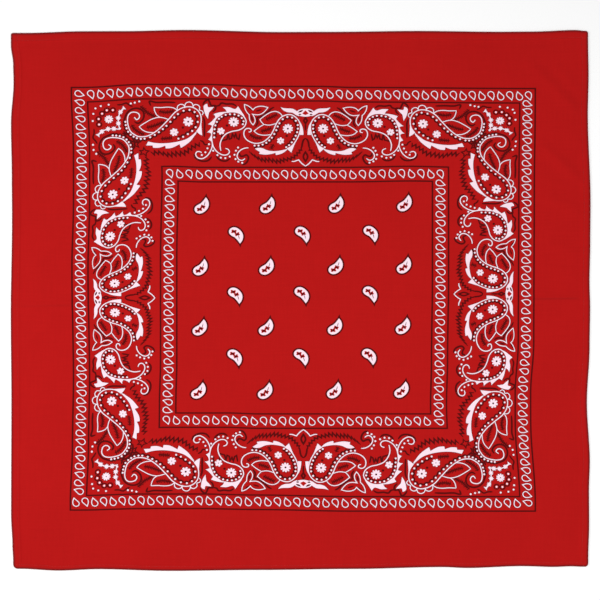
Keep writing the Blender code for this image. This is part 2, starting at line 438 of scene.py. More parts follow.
@dataclass(frozen=True)
class Pen:
    """The ink, width and ends of a drawn line."""

    ink: Ink
    layer: Layer
    width: float
    tip: float = 1.0
    taper: float = 2.5
    mitre: float = 2.4

    def draw(self, points: Sequence[Vector]) -> Iterator[Patch]:
        """Draw a line of this pen's width through traced points.

        Args:
            points: the traced points, the first one again at the end of a closed line.

        Yields:
            Narrow triangles, two for each step.
        """
        points = [p for i, p in enumerate(points) if i == 0 or (p - points[i - 1]).length > NO_STEP]
        if len(points) < 2:
            return
        closed = (points[0] - points[-1]).length < NO_GAP
        track = Track(list(points))
        ways = [(after - before).normalized() for before, after in zip(points, points[1:])]
        edges = []
        for i, point in enumerate(points):
            before = ways[i - 1] if i > 0 or closed else ways[0]
            after = ways[i] if i < len(ways) else (ways[0] if closed else ways[-1])
            middle = before + after
            middle = middle.normalized() if middle.length > NO_TURN else before
            reach = min(1.0 / max(middle.dot(before), NO_TURN), self.mitre)
            from_end = min(track.walked[i], track.length - track.walked[i])
            share = 1.0 if closed else self.tip + (1.0 - self.tip) * min(from_end / self.taper, 1.0)
            aside = Vector((-middle.y, middle.x)) * (self.width / 2 * reach * share)
            edges.append((point + aside, point - aside))
        for (right, left), (next_right, next_left) in zip(edges, edges[1:]):
            yield Patch((right, next_right, next_left), self.ink, self.layer)
            yield Patch((right, next_left, left), self.ink, self.layer)


# How far the fine dark edge shows round a white shape
EDGE = 0.40
WHITE_PEN = Pen(Ink.WHITE, Layer.MAIN, 1.06, tip=0.8)
FINE_WHITE_PEN = Pen(Ink.WHITE, Layer.MAIN, 0.92, tip=0.8)
EDGE_PEN = Pen(Ink.EDGE, Layer.UNDER, 2 * EDGE, mitre=1.6)
BLACK_PEN = Pen(Ink.BLACK, Layer.UNDER, 1.75, tip=0.5)
SCALLOP_PEN = Pen(Ink.BLACK, Layer.UNDER, 1.5)
HATCH_PEN = Pen(Ink.BLACK, Layer.UNDER, 1.5, tip=0.5, taper=1.2)


def round_spot(centre: Vector, radius: float, ink: Ink, layer: Layer, sides: int = 10) -> Patch:
    """Make a round patch.

    Args:
        centre: its middle.
        radius: its radius.
        ink: what it leaves.
        layer: what it covers.
        sides: how many sides stand for the circle.

    Returns:
        The patch.
    """
    angles = (math.tau * (i + 0.5) / sides for i in range(sides))
    return Patch(tuple(centre + radius * Vector((math.cos(a), math.sin(a))) for a in angles), ink, layer)


def swollen(outline: Sequence[Vector], middle: Vector) -> tuple[Vector, ...]:
    """Push an outline away from its middle by the width of a fine edge."""
    return tuple(point + (point - middle).normalized() * EDGE for point in outline)


@dataclass(frozen=True)
class Stroke:
    """A drawn line."""

    pen: Pen
    flow: Flow

    def patches(self) -> Iterator[Patch]:
        """Yield the patches of the line. A white one has a fine dark edge."""
        points = self.flow.trace()
        yield from self.pen.draw(points)
        if self.pen.ink is Ink.WHITE:
            yield from replace(EDGE_PEN, width=self.pen.width + 2 * EDGE).draw(points)


@dataclass(frozen=True)
class Solid:
    """A filled shape."""

    flow: Flow
    ink: Ink = Ink.WHITE
    layer: Layer = Layer.MAIN

    def patches(self) -> Iterator[Patch]:
        """Yield the filled outline. A white one has a fine dark edge."""
        points = self.flow.trace()
        yield Patch(tuple(points[:-1]), self.ink, self.layer)
        if self.ink is Ink.WHITE:
            yield from EDGE_PEN.draw(points)


@dataclass(frozen=True)
class Beads:
    """A row of dots that runs beside a line, with a scalloped black line round them."""

    flow: Flow
    start: Pair
    runs: tuple[tuple[int, float], ...]
    side: Course = Course(((0.0, 2.4), (1.0, 2.4)))
    radius: float = 1.0
    cusp: float = 0.5
    crest: float = 2.0
    scallop_steps: int = 5

    def patches(self) -> Iterator[Patch]:
        """Yield the dots and the scallops."""
        track = Track(self.flow.trace())
        place = track.nearest(self.start)
        places = [place]
        for count, pitch in self.runs:
            for _ in range(count):
                place += pitch
                places.append(place)
        places.pop()
        for place in places:
            yield from Spot(track.at(place, self.side.at(place)), self.radius).patches()
        ends = [places[0]] + [(a + b) / 2 for a, b in zip(places, places[1:])] + [places[-1]]
        for start, end in zip(ends, ends[1:]):
            arc = []
            for i in range(self.scallop_steps + 1):
                place = start + (end - start) * i / self.scallop_steps
                bulge = math.sin(math.pi * i / self.scallop_steps)
                rise = self.cusp + (self.crest - self.cusp) * bulge
                arc.append(track.at(place, self.side.at(place) + rise))
            yield from SCALLOP_PEN.draw(arc)


@dataclass(frozen=True)
class Grass:
    """A black zigzag between the line of its tips and the line of its roots."""

    tips: Flow
    roots: Flow
    blades: int
    shortest: float = 0.12
    pace: float = 2.4
    start_turn: float = 0.7

    def patches(self) -> Iterator[Patch]:
        """Yield the zigzag."""
        tips, roots = Track(self.tips.trace()), Track(self.roots.trace())
        teeth = []
        for i in range(2 * self.blades + 1):
            share = i / (2 * self.blades)
            short = self.shortest + self.shortest * math.sin(self.pace * i + self.start_turn)
            tip, root = tips.at(tips.length * share), roots.at(roots.length * share)
            teeth.append(tip.lerp(root, short) if i % 2 == 0 else root.lerp(tip, short))
        yield from HATCH_PEN.draw(teeth)


@dataclass(frozen=True)
class Sprig:
    """A black vein with short barbs on both sides, as inside a leaf."""

    flow: Flow
    barb: float = 2.2
    pitch: float = 1.75
    stretch: float = 1.3
    short_barb: float = 0.75
    slant: float = 0.45

    def patches(self) -> Iterator[Patch]:
        """Yield the vein and its barbs."""
        run = self.flow.trace()
        middle = (run[0] + run[-1]) / 2
        run = [middle + (point - middle) * self.stretch for point in run]
        track = Track(run)
        yield from HATCH_PEN.draw(run)
        for i in range(1, int(track.length / self.pitch) + 1):
            place = i * self.pitch - 0.5 * self.pitch
            for side in (self.barb, -self.barb):
                reach = side * (1.0 if i % 2 else self.short_barb)
                tip = track.at(place + self.slant * self.barb, reach)
                yield from HATCH_PEN.draw([track.at(place), tip])


@dataclass(frozen=True)
class Blossom:
    """A round white flower with notched petals and a dark heart."""

    centre: Pair
    radius: float
    petals: int
    heart: float
    turn: float = 0.0
    petal: tuple[float, ...] = (0.62, 0.90, 1.0, 1.0, 0.97, 0.85)

    def patches(self) -> Iterator[Patch]:
        """Yield the petals, their fine edge and the heart."""
        middle, steps = Vector(self.centre), len(self.petal)
        outline = []
        for i, share in enumerate(self.petal * self.petals):
            angle = self.turn + math.tau * i / (self.petals * steps)
            outline.append(middle + self.radius * share * Vector((math.cos(angle), math.sin(angle))))
        ring = outline + outline[:1]
        for i in range(0, len(outline), steps):
            yield Patch((middle, *ring[i:i + steps + 1]), Ink.WHITE, Layer.MAIN)
        yield Patch(swollen(outline, middle), Ink.EDGE, Layer.UNDER)
        yield round_spot(middle, self.heart, Ink.BLACK, Layer.OVER, sides=8)


@dataclass(frozen=True)
class Spot:
    """A single dot or blot."""

    centre: Pair
    radius: float = 1.0
    ink: Ink = Ink.WHITE
    layer: Layer = Layer.MAIN

    def patches(self) -> Iterator[Patch]:
        """Yield the dot. A white one has a fine dark edge."""
        yield round_spot(Vector(self.centre), self.radius, self.ink, self.layer)
        if self.ink is Ink.WHITE:
            yield round_spot(Vector(self.centre), self.radius + EDGE, Ink.EDGE, Layer.UNDER, sides=8)


@dataclass(frozen=True)
class RingedSpot:
    """A white dot inside a fine black ring."""

    centre: Pair
    dot: float = 1.0
    inside: float = 1.85
    outside: float = 3.05

    def patches(self) -> Iterator[Patch]:
        """Yield ring, gap and dot."""
        middle = Vector(self.centre)
        yield round_spot(middle, self.outside, Ink.BLACK, Layer.UNDER, sides=14)
        yield round_spot(middle, self.inside, Ink.GROUND, Layer.GAP, sides=12)
        yield round_spot(middle, self.dot, Ink.WHITE, Layer.OVER)


@dataclass(frozen=True)
class RaggedStar:
    """A small white star with uneven points."""

    centre: Pair
    radius: float
    points: int = 8
    turn: float = 0.3
    short_point: float = 0.88
    notch: float = 0.55

    def patches(self) -> Iterator[Patch]:
        """Yield the star."""
        outline = []
        for i in range(self.points * 2):
            share = (1.0 if i % 4 else self.short_point) if i % 2 == 0 else self.notch
            angle = self.turn + math.pi * i / self.points
            outline.append(Vector(self.centre) + self.radius * share
                           * Vector((math.cos(angle), math.sin(angle))))
        yield Patch(tuple(outline), Ink.WHITE, Layer.MAIN)
        yield Patch(swollen(outline, Vector(self.centre)), Ink.EDGE, Layer.UNDER)


def line(*points: Pair) -> Flow:
    """Make an open smooth line."""
    return Flow(points)


def loop(*points: Pair) -> Flow:
    """Make a closed outline."""
    return Flow(points, closed=True)


def angular(*points: Pair, closed: bool = False) -> Flow:
    """Make a line that turns sharply at every point."""
    return Flow(tuple(point for given in points for point in (given, given)), closed=closed)


def angular_loop(*points: Pair) -> Flow:
    """Make a closed outline with straight sides."""
    return angular(*points, closed=True)


@dataclass(frozen=True)
class BorderUnit:
    """One eighth of the wide border, from a corner to the middle of a side.

    The first coordinate runs along the side from the corner, the second inwards from the edge of
    the print. The motifs are a long paisley, a hooked paisley, a leaf in three parts and a round
    paisley, with their beads, flowers and grasses.
    """

    long_rim: tuple[Pair, ...] = (
        (52, 34.5), (52.3, 41), (54.7, 48), (58.5, 51.3), (62, 53.2), (66, 53.6), (70.5, 53),
        (76.5, 50.2), (82, 46), (91, 36.5), (98.5, 28), (106, 23.8), (113.5, 23.5), (119.3, 27),
        (122, 31.8), (122.5, 37), (121.5, 42.7), (118, 48))
    long_paisley: Flow = line(
        (58.5, 33.5), (59.5, 35), (60.5, 36), (62.5, 35), (63.5, 32.5), (62.5, 30), (59.5, 28.5),
        (56, 28.5), (53, 31), *long_rim)
    long_bead_line: Flow = line(*long_rim, (111, 54), (103.5, 58.3), (98, 60))
    long_back: Flow = loop(
        (69.5, 62.5), (69.5, 62.5), (71.5, 58.5), (71.5, 58.5), (77, 60), (86.5, 60.8), (96.5, 59.8),
        (102, 58.5), (108.5, 56), (113.5, 52.3), (118, 48), (118, 48), (118, 49.5), (116, 52.7),
        (112.5, 57.7), (106.5, 63), (103, 65.4), (103, 65.4), (101.7, 61.5), (101.7, 61.5),
        (98.5, 63.5), (94, 65.6), (88.5, 66.1), (88.5, 66.1), (88, 63.2), (88, 63.2), (82, 65.2),
        (76.3, 65), (76.3, 65), (75.8, 62.7), (75.8, 62.7))
    long_spike: Flow = loop(
        (122.5, 36), (122.5, 36), (122.8, 43.7), (123.5, 52.3), (123.5, 52.3), (120.8, 50.8),
        (118, 48.3), (118, 48.3), (120.5, 43.8))
    long_loops: Flow = line(
        (99.7, 27.2), (100, 22.5), (103, 20.7), (106.2, 22), (106.8, 24), (106.8, 24), (107.5, 20),
        (111, 18.3), (114.2, 20.2), (114.6, 23.2), (114.6, 23.2), (116, 21.2), (118.3, 21),
        (121, 23.3), (121, 26.6), (123.2, 27.3), (124.4, 29.3), (123, 31.7))
    long_leaf_above: Flow = line((77.3, 23.8), (84, 24.1), (91.5, 23.7), (96.3, 24.6), (99.7, 27.2))
    long_leaf_above_side: Flow = line((77.3, 23.8), (78.2, 28.2), (80.2, 31.9), (83.6, 34.3))
    long_leaf_below: Flow = line((63, 43.3), (69.5, 39), (75.8, 35.6), (82, 34.1), (91, 36.3))
    long_leaf_below_side: Flow = line((63, 43.3), (66.5, 46.9), (71, 49), (77.7, 49.5))

    bud: Flow = loop(
        (128.4, 20.1), (128.4, 20.1), (126, 21), (124.7, 22.8), (124.7, 22.8), (125.2, 27),
        (126.5, 31.1), (129, 35.3), (129, 35.3), (129.6, 30.8), (130.1, 28.6), (132, 26.6),
        (134.8, 23.1), (134.8, 23.1), (131.8, 23.4), (129.4, 23.6))

    hooked_rim: tuple[Pair, ...] = (
        (132.6, 55.6), (132.6, 49.3), (133.8, 41), (137.7, 33.5), (144, 28.9), (151.4, 27.4),
        (157.8, 28.1), (163, 31.4), (165.6, 36.6), (164, 42), (159.2, 45.7), (152.4, 47.4))
    hooked_paisley: Flow = line(
        (145.8, 65.1), (148.7, 66.4), (149.5, 68.5), (148.2, 70.9), (144.5, 72), (139.7, 70.2),
        (135.2, 65.5), (133.3, 60.8), *hooked_rim, (146.5, 50.1), (142.3, 55.4), (140.6, 60.7),
        (141.4, 67.5))
    hooked_inner: Flow = line(*hooked_rim)
    hooked_left_curl: Flow = line(
        (132.8, 57), (133, 63.4), (131.3, 68.1), (127.4, 73.4), (122.5, 75.8), (118.4, 74.3),
        (117.1, 71.2), (118.4, 68.8), (120.3, 68.4), (122.8, 69.5))
    hooked_teeth: tuple[Flow, ...] = (
        loop((132.9, 59.5), (132.9, 59.5), (131.8, 57.8), (129.1, 56.4), (129.1, 56.4), (131, 54),
             (132.2, 50.6), (132.2, 50.6), (133, 54)),
        loop((132.7, 51), (132.7, 51), (130.6, 49.3), (127.9, 49.1), (127.9, 49.1), (130.8, 46.3),
             (133, 42.2), (133, 42.2), (133.8, 46)),
        loop((133.5, 43), (133.5, 43), (131.5, 41.4), (128.9, 41), (128.9, 41), (132, 38.4),
             (136.5, 33), (136.5, 33), (136, 38)),
        loop((136, 35.5), (136, 35.5), (136, 33), (134.3, 30.4), (134.3, 30.4), (139.5, 28.6),
             (146.5, 27.6), (146.5, 27.6), (141.5, 31.5)),
        loop((147.5, 28.8), (147.5, 28.8), (145.8, 25.3), (143.1, 23.1), (143.1, 23.1), (149, 22.7),
             (155.6, 24.2), (157.8, 21.2), (157.8, 21.2), (160.5, 25.6), (163.6, 30.5),
             (165.4, 35), (165.4, 35), (161, 29.8), (154.5, 27.8)),
    )
    leaf_of_three: Flow = loop(
        (164, 19.2), (164, 19.2), (166.6, 20), (169, 21.5), (172.2, 24.6), (172.2, 24.6), (174, 22.4),
        (176.8, 21.1), (180.8, 20.7), (186.4, 22), (186.4, 22), (183.7, 25.8), (180.8, 28.4),
        (178, 29.5), (171.7, 29.1), (171.7, 29.1), (173.7, 32.8), (174.1, 37), (172.2, 40.2),
        (172.2, 40.2), (169.7, 36.8), (168.5, 29.7), (168.5, 29.7), (165.6, 26.1), (164.2, 22.4))
    small_curl: Flow = line(
        (167.8, 64.1), (164, 64.6), (160.7, 66.3), (157.8, 69.5), (156.8, 72.7), (158.2, 76),
        (161.2, 77.3), (164.4, 75.3))

    round_rim: tuple[Pair, ...] = (
        (165.6, 55.2), (169.5, 58), (175.4, 59.5), (181.2, 58.2), (187.6, 53), (191.5, 46.5),
        (194.5, 39), (198.4, 33), (203.3, 29.9), (209, 29.6), (213.5, 32.5), (217, 37.9),
        (217.7, 43.3), (216.5, 49.6), (214, 55.4), (210.6, 60.8), (205.7, 65.3))
    round_paisley: Flow = line(
        (168, 47.7), (170, 47.2), (170.4, 45.2), (168, 43.9), (165.3, 44.6), (163.5, 47.8),
        (163.6, 51.5), *round_rim)
    round_bead_line: Flow = line(*round_rim, (199, 67.6), (195, 68))
    round_blade: Flow = loop(
        (212, 31.2), (212, 31.2), (215.5, 34.7), (219, 40.5), (220.2, 45.3), (220.6, 50.6),
        (220.6, 50.6), (217, 50.6), (217, 50.6), (218, 43.3), (216.5, 37.5))
    round_back: Flow = loop(
        (174, 65), (174, 65), (177.3, 64), (181.2, 64.5), (185.6, 66.6), (191.5, 67.6), (197.4, 67.1),
        (205.7, 65), (205.7, 65), (202.3, 68.5), (198.4, 70.6), (194, 71.6), (194, 71.6),
        (193.7, 69.3), (193.7, 69.3), (189.6, 70.5), (184.7, 71.2), (178, 70.4), (178, 70.4),
        (178.8, 68.3), (178.8, 68.3), (176.4, 66.9))
    round_spike: Flow = loop(
        (204.5, 64.8), (204.5, 64.8), (208.9, 69.1), (208.9, 69.1), (210.6, 64.5), (212.2, 60.2),
        (214.8, 54.5), (214.8, 54.5), (210.2, 60.8))
    round_leaf_above: Flow = line(
        (182.7, 39.7), (180.3, 37.2), (178.8, 34.6), (178.8, 34.6), (184.7, 29.7), (190.5, 26.5),
        (194.5, 26.2), (198, 27.9), (200.3, 30.9))
    round_leaf_above_side: Flow = line((182.7, 39.7), (187.6, 40.4), (194.3, 38.6))
    round_leaf_below: Flow = line(
        (182.7, 39.7), (177.8, 42.8), (173.2, 46.6), (173.2, 46.6), (176.4, 49.5), (180.8, 50.8),
        (189.3, 50.2))

    long_grass: Grass = Grass(
        line((73.5, 68), (82.2, 68.7), (90.9, 69.6), (96.8, 69.5), (103.8, 67.7), (111, 64.1),
             (120, 58)),
        line((75.5, 73), (85.3, 73.2), (95.2, 75.3), (99.2, 75.3), (106.2, 72.9), (113.1, 68.4),
             (122.5, 62)), 12)
    round_grass: Grass = Grass(
        line((168, 67.3), (175, 72.5), (182, 74.3), (191, 75.2), (200, 75.5), (208, 73.2),
             (212.5, 70.8), (215.8, 67.5), (217.6, 63)),
        line((170.2, 70.4), (176.5, 76), (183, 78.9), (191, 79.9), (200, 79.8), (207, 77.8),
             (213, 74.2), (217.4, 70), (219.6, 65)), 16)

    def white_motifs(self) -> Iterable:
        """List everything drawn in white."""
        for flow in (self.long_paisley, self.hooked_paisley, self.round_paisley, self.small_curl,
                     self.hooked_left_curl):
            yield Stroke(WHITE_PEN, flow)
        for flow in (self.long_loops, self.leaf_of_three, self.long_leaf_above,
                     self.long_leaf_above_side, self.long_leaf_below, self.long_leaf_below_side,
                     self.round_leaf_above, self.round_leaf_above_side, self.round_leaf_below):
            yield Stroke(FINE_WHITE_PEN, flow)
        for flow in (self.long_back, self.long_spike, self.bud, *self.hooked_teeth,
                     self.round_blade, self.round_back, self.round_spike):
            yield Solid(flow)
        yield Beads(self.long_bead_line, (52.1, 38.2), ((8, 3.2), (1, 5.0), (4, 4.6), (3, 5.6),
                                                        (6, 7.3), (5, 5.7)),
                    Course(((0.0, 2.1), (35.0, 2.1), (55.0, 2.9), (75.0, 3.2))))
        yield Beads(self.hooked_inner, (132.6, 53.7), ((6, 4.3), (8, 4.9)), cusp=0.8, crest=1.7)
        yield Beads(self.round_bead_line, (173.4, 59.3), ((5, 3.4), (4, 4.1), (5, 6.2), (8, 4.24)))
        for point in ((130, 61), (128.5, 65.2), (126.5, 69.2), (123, 72), (134, 67.5), (138, 72),
                      (141.2, 74.6), (145.5, 75), (149.8, 73.4), (157.8, 64), (155.8, 67.3),
                      (154.4, 71.5), (155.3, 75.9), (157.9, 78.5), (161.6, 79.8)):
            yield Spot(point)
        yield Blossom((110, 38.4), 4.9, 8, 1.0, 0.2)
        yield Blossom((96.5, 49.4), 4.1, 7, 0.5, 0.5)
        yield Blossom((153.7, 37.7), 5.0, 10, 1.0)
        yield Blossom((141.4, 47.5), 3.7, 6, 0.5, 0.3)
        yield Blossom((205.6, 44.1), 5.0, 10, 1.0, 0.12)
        yield Blossom((198.6, 56.8), 3.6, 6, 0.5, 0.1)

    def black_motifs(self) -> Iterable:
        """List everything drawn in black under the white."""
        for flow in (
                line((47.8, 39.4), (49.3, 34.6), (52.2, 28.3), (57, 25.1), (62, 24.7), (66.8, 27.7),
                     (67.8, 32), (65.8, 37.2), (62, 39.8), (58.5, 38)),
                line((74.3, 22), (73, 17.8), (79.2, 18.8), (89, 18.6), (97.8, 19)),
                line((124, 21.3), (126.2, 17.6), (129, 16), (130.8, 19), (131.8, 21.6), (136.2, 22),
                     (135.7, 26.2), (133.3, 28.4)),
                line((136.2, 22), (139.7, 21.4), (141.6, 19), (146.5, 19.6), (153.4, 19.5),
                     (156.3, 21.5)),
                line((115.5, 71), (116.6, 74.5), (120, 77.2), (124.3, 78.3), (128.8, 77.5),
                     (132.4, 73.6)),
                line((136.5, 71.6), (139, 75.9), (142.3, 77.8), (146.4, 77.8), (149.7, 75.5)),
                line((192.5, 21.7), (189.6, 23.3), (186.6, 26.3), (183.7, 28.9), (179.8, 31.6),
                     (176.4, 32.7), (176.6, 38), (174.4, 41.8)),
                line((159, 69.6), (160.6, 73), (163.2, 72.7), (165.7, 71.5), (167.6, 73.5),
                     (167.2, 77), (164.6, 80.7), (161.3, 81.9)),
                line((124.4, 33.5), (125.6, 38), (125.6, 46), (125.6, 53.5)),
                line((48.2, 47), (51.5, 55.3), (57.5, 58.6), (64.5, 58.8))):
            yield Stroke(BLACK_PEN, flow)
        for flow in (
                line((66, 24), (69, 26.6), (71, 29.2), (74.3, 30.8), (77.3, 33)),
                line((57.2, 42.3), (58.8, 45.3), (61.5, 47.7), (64.3, 49.4), (66.4, 50.4)),
                line((72, 43.5), (76.8, 42.7), (81.2, 41), (85.6, 39.3)),
                line((83.6, 27.7), (89, 28.8), (94.8, 27.3)),
                line((85, 56), (89, 55.8), (93.4, 55.3)),
                line((185.6, 34.3), (190, 32), (194, 30)),
                line((180.8, 46.5), (184.5, 45.6), (188.6, 43.8)),
                line((170.5, 50.3), (173, 52.4), (176.4, 53.5), (180, 53.4)),
                line((191.5, 60.8), (190.5, 63), (189.6, 65))):
            yield Sprig(flow)
        for flow in (
                line((167.5, 21.8), (170.5, 24.4)), line((175, 25.9), (180.3, 24.2)),
                line((170.5, 30.7), (171.7, 36)),
                line((42.4, 20), (46.8, 20), (51.2, 18.8), (54, 21), (57, 22.7)),
                angular((141.9, 50.3), (142.9, 57.2), (147.2, 55.8), (148.4, 50), (149.5, 55.6),
                        (151.6, 54.6), (152.4, 50), (154.2, 53.4), (155.6, 49.8), (156.8, 54.4),
                        (158.6, 55.6), (159.8, 49.2))):
            yield Stroke(HATCH_PEN, flow)
        yield self.long_grass
        yield self.round_grass
        yield Stroke(HATCH_PEN, line((121.4, 57.2), (124, 58.5), (126.2, 61.5), (128.8, 61)))
        for centre in ((104.9, 44.5), (147.2, 41.7), (204.5, 51.7)):
            yield Spot(centre, 1.2, Ink.BLACK, Layer.UNDER)

    def motifs(self) -> Iterable:
        """List every motif of the unit."""
        yield from self.black_motifs()
        yield from self.white_motifs()


@dataclass(frozen=True)
class CornerUnit:
    """The flower and the chains in each corner of the border."""

    chain: tuple[tuple[Pair, float], ...] = (
        ((43.2, 39.2), 2.9), ((43.2, 33.6), 2.9), ((45.5, 27.6), 2.8))
    stalk: Flow = line((44.2, 44.8), (43.3, 39.2), (43.3, 33.6), (45.4, 27.6), (47.6, 24.3))
    stalk_pen: Pen = Pen(Ink.WHITE, Layer.MAIN, 1.1, tip=0.7)
    star_pen: Pen = replace(BLACK_PEN, width=1.1)
    arrow: Flow = loop(
        (48, 21.4), (48, 21.4), (51, 25.3), (51, 25.3), (48.6, 25), (46.8, 27.4), (46.8, 27.4),
        (45.7, 26.2), (47.2, 24.4))

    def diagonal(self) -> Iterable:
        """List the motifs on the diagonal."""
        yield Blossom((34.2, 34.4), 4.2, 10, 0.6, math.pi / 4)
        yield RingedSpot((28, 28.2))
        yield Spot((21.9, 22.3))
        yield Spot((44.3, 44.5), 1.2)
        yield Stroke(self.star_pen, angular_loop(
            (54.6, 58.8), (57.5, 58.4), (58.6, 55.1), (60.2, 58.2), (63.6, 58.6), (61.0, 61.0),
            (62.4, 64.2), (58.9, 62.4), (56.0, 64.6), (56.8, 61.4)))
        yield Stroke(self.star_pen, angular_loop(
            (63.4, 67.4), (66.4, 67.6), (67.2, 64.6), (69.0, 67.4), (72.2, 68.2), (69.6, 70.2),
            (69.6, 73.2), (67.0, 70.8), (64.0, 71.6), (65.2, 69.3)))

    def motifs(self) -> Iterable:
        """List the motifs of one half."""
        for centre in ((32.6, 25), (38.3, 25.2)):
            yield RingedSpot(centre)
        for centre in ((34.5, 19.3), (27, 20.2)):
            yield Spot(centre)
        for index, (centre, radius) in enumerate(self.chain):
            yield RaggedStar(centre, radius, 8, 0.9 * index)
        yield Stroke(self.stalk_pen, self.stalk)
        yield Solid(self.arrow)


@dataclass(frozen=True)
class CentreUnit:
    """One half of the linked ornament in the middle of each side."""

    middle: float = 222.5
    oval_place: float = 27.4
    oval_half: Pair = (8.5, 4.2)
    oval_points: int = 16

    def motifs(self) -> Iterable:
        """List the motifs of the half that comes first along the side."""
        yield Solid(loop(
            (198.6, 21.7), (198.6, 21.7), (202, 22.7), (206.2, 23), (210.1, 23.3), (212.8, 24.7),
            (215.2, 26.9), (216.6, 31.2), (216.6, 31.2), (213.3, 29.8), (210.1, 27.5), (205.7, 27),
            (202, 25.5)))
        long, short = self.oval_half
        oval = [(self.middle + long * math.cos(a), self.oval_place + short * math.sin(a))
                for a in (math.tau * i / self.oval_points for i in range(self.oval_points))]
        yield Solid(loop(*oval))
        yield Solid(angular_loop((219.4, 28.3), (self.middle, 25), (225.6, 28.3),
                                 (self.middle, 30)), Ink.GROUND, Layer.GAP)
        yield Solid(loop((215.2, 27.2), (215.2, 27.2), (216.8, 25.5), (220.2, 24.5), (220.2, 24.5),
                         (219.1, 26.3), (217.4, 27.1)), Ink.BLACK, Layer.OVER)
        yield Solid(loop((215.5, 29.3), (215.5, 29.3), (217.1, 28.5), (218.8, 29.2), (218.8, 29.2),
                         (217.3, 30)), Ink.BLACK, Layer.OVER)
        for flow in (
                angular_loop((self.middle, 32.8), (self.middle + 1.7, 35.8),
                             (self.middle, 38.8), (self.middle - 1.7, 35.8)),
                line((self.middle, 38.6), (self.middle, 46)),
                line((222.5, 54.2), (220.9, 55.6), (219.7, 58.4), (219.2, 61.8), (218.8, 64.5)),
                loop((self.middle, 68.6), (self.middle, 68.6), (self.middle + 2.1, 73.4),
                     (self.middle, 78.1), (self.middle, 78.1), (self.middle - 2.1, 73.4))):
            yield Stroke(BLACK_PEN, flow)
        yield Stroke(WHITE_PEN, line(
            (209.3, 78.3), (212, 78.2), (214.4, 77.2), (216, 76.7), (216, 76.7), (219, 80.4),
            (222.5, 83.2)))


class Stamp(Enum):
    """The four ways that a teardrop of the narrow bands is turned."""

    HEAD_UP = "head up"
    HEAD_DOWN = "head down"
    HEAD_LEFT = "head left"
    HEAD_RIGHT = "head right"


@dataclass(frozen=True)
class TeardropRow:
    """A row of teardrops along one side of a narrow band, every other one turned round.

    The drops are spaced evenly when the cloth is printed, and a little gathered where it was
    folded and washed since: the gather is counted in millimetres at shares of the row.
    """

    across: float
    first: float
    last: float
    count: int
    stamp: Stamp
    gather: Course = Course(((0.0, 0.0), (1.0, 0.0)))
    pen: Pen = Pen(Ink.WHITE, Layer.MAIN, 0.91, mitre=1.9)
    drop: tuple[Pair, ...] = (
        (2.1, 5.9), (2.1, 5.9), (-0.5, 3.5), (-2.4, 1.7), (-3.0, -0.1), (-2.0, -2.1), (0.0, -2.8),
        (2.1, -1.9), (3.1, 0.3), (3.1, 2.6))
    shift: float = 1.6
    sway: float = 0.3
    step: float = 9.0
    turn: float = math.radians(24)

    def motif(self, along: float, turned: float) -> Stroke:
        """Make one drop.

        Args:
            along: place of its middle along the row.
            turned: 1 for the stamp's own turn, or -1 for its half turn.

        Returns:
            The drop's line.
        """
        upright = self.stamp in (Stamp.HEAD_UP, Stamp.HEAD_DOWN)
        turned *= -1.0 if self.stamp in (Stamp.HEAD_DOWN, Stamp.HEAD_RIGHT) else 1.0
        points = []
        for x, y in self.drop:
            x, y = turned * (x - self.sway), turned * (y - self.shift)
            points.append((along + x, self.across + y) if upright else (self.across + y, along + x))
        return Stroke(self.pen, Flow(tuple(points), closed=True, step=self.step, turn=self.turn))

    def drops(self) -> Iterator[Stroke]:
        """Yield the drops of the row."""
        for i in range(self.count):
            share = i / (self.count - 1)
            along = self.first + (self.last - self.first) * share + self.gather.at(share)
            yield self.motif(along, 1.0 if i % 2 == 0 else -1.0)


@dataclass(frozen=True)
class FrameLines:
    """The four black squares that bound the narrow bands."""

    halves: tuple[float, ...] = (222.5, 207.3, 138.0, 122.5)
    pen: Pen = Pen(Ink.BLACK, Layer.UNDER, 1.5)

    def motifs(self) -> Iterable[Stroke]:
        """List the squares."""
        for half in self.halves:
            yield Stroke(self.pen, angular_loop((-half, -half), (half, -half), (half, half),
                                                (-half, half)))


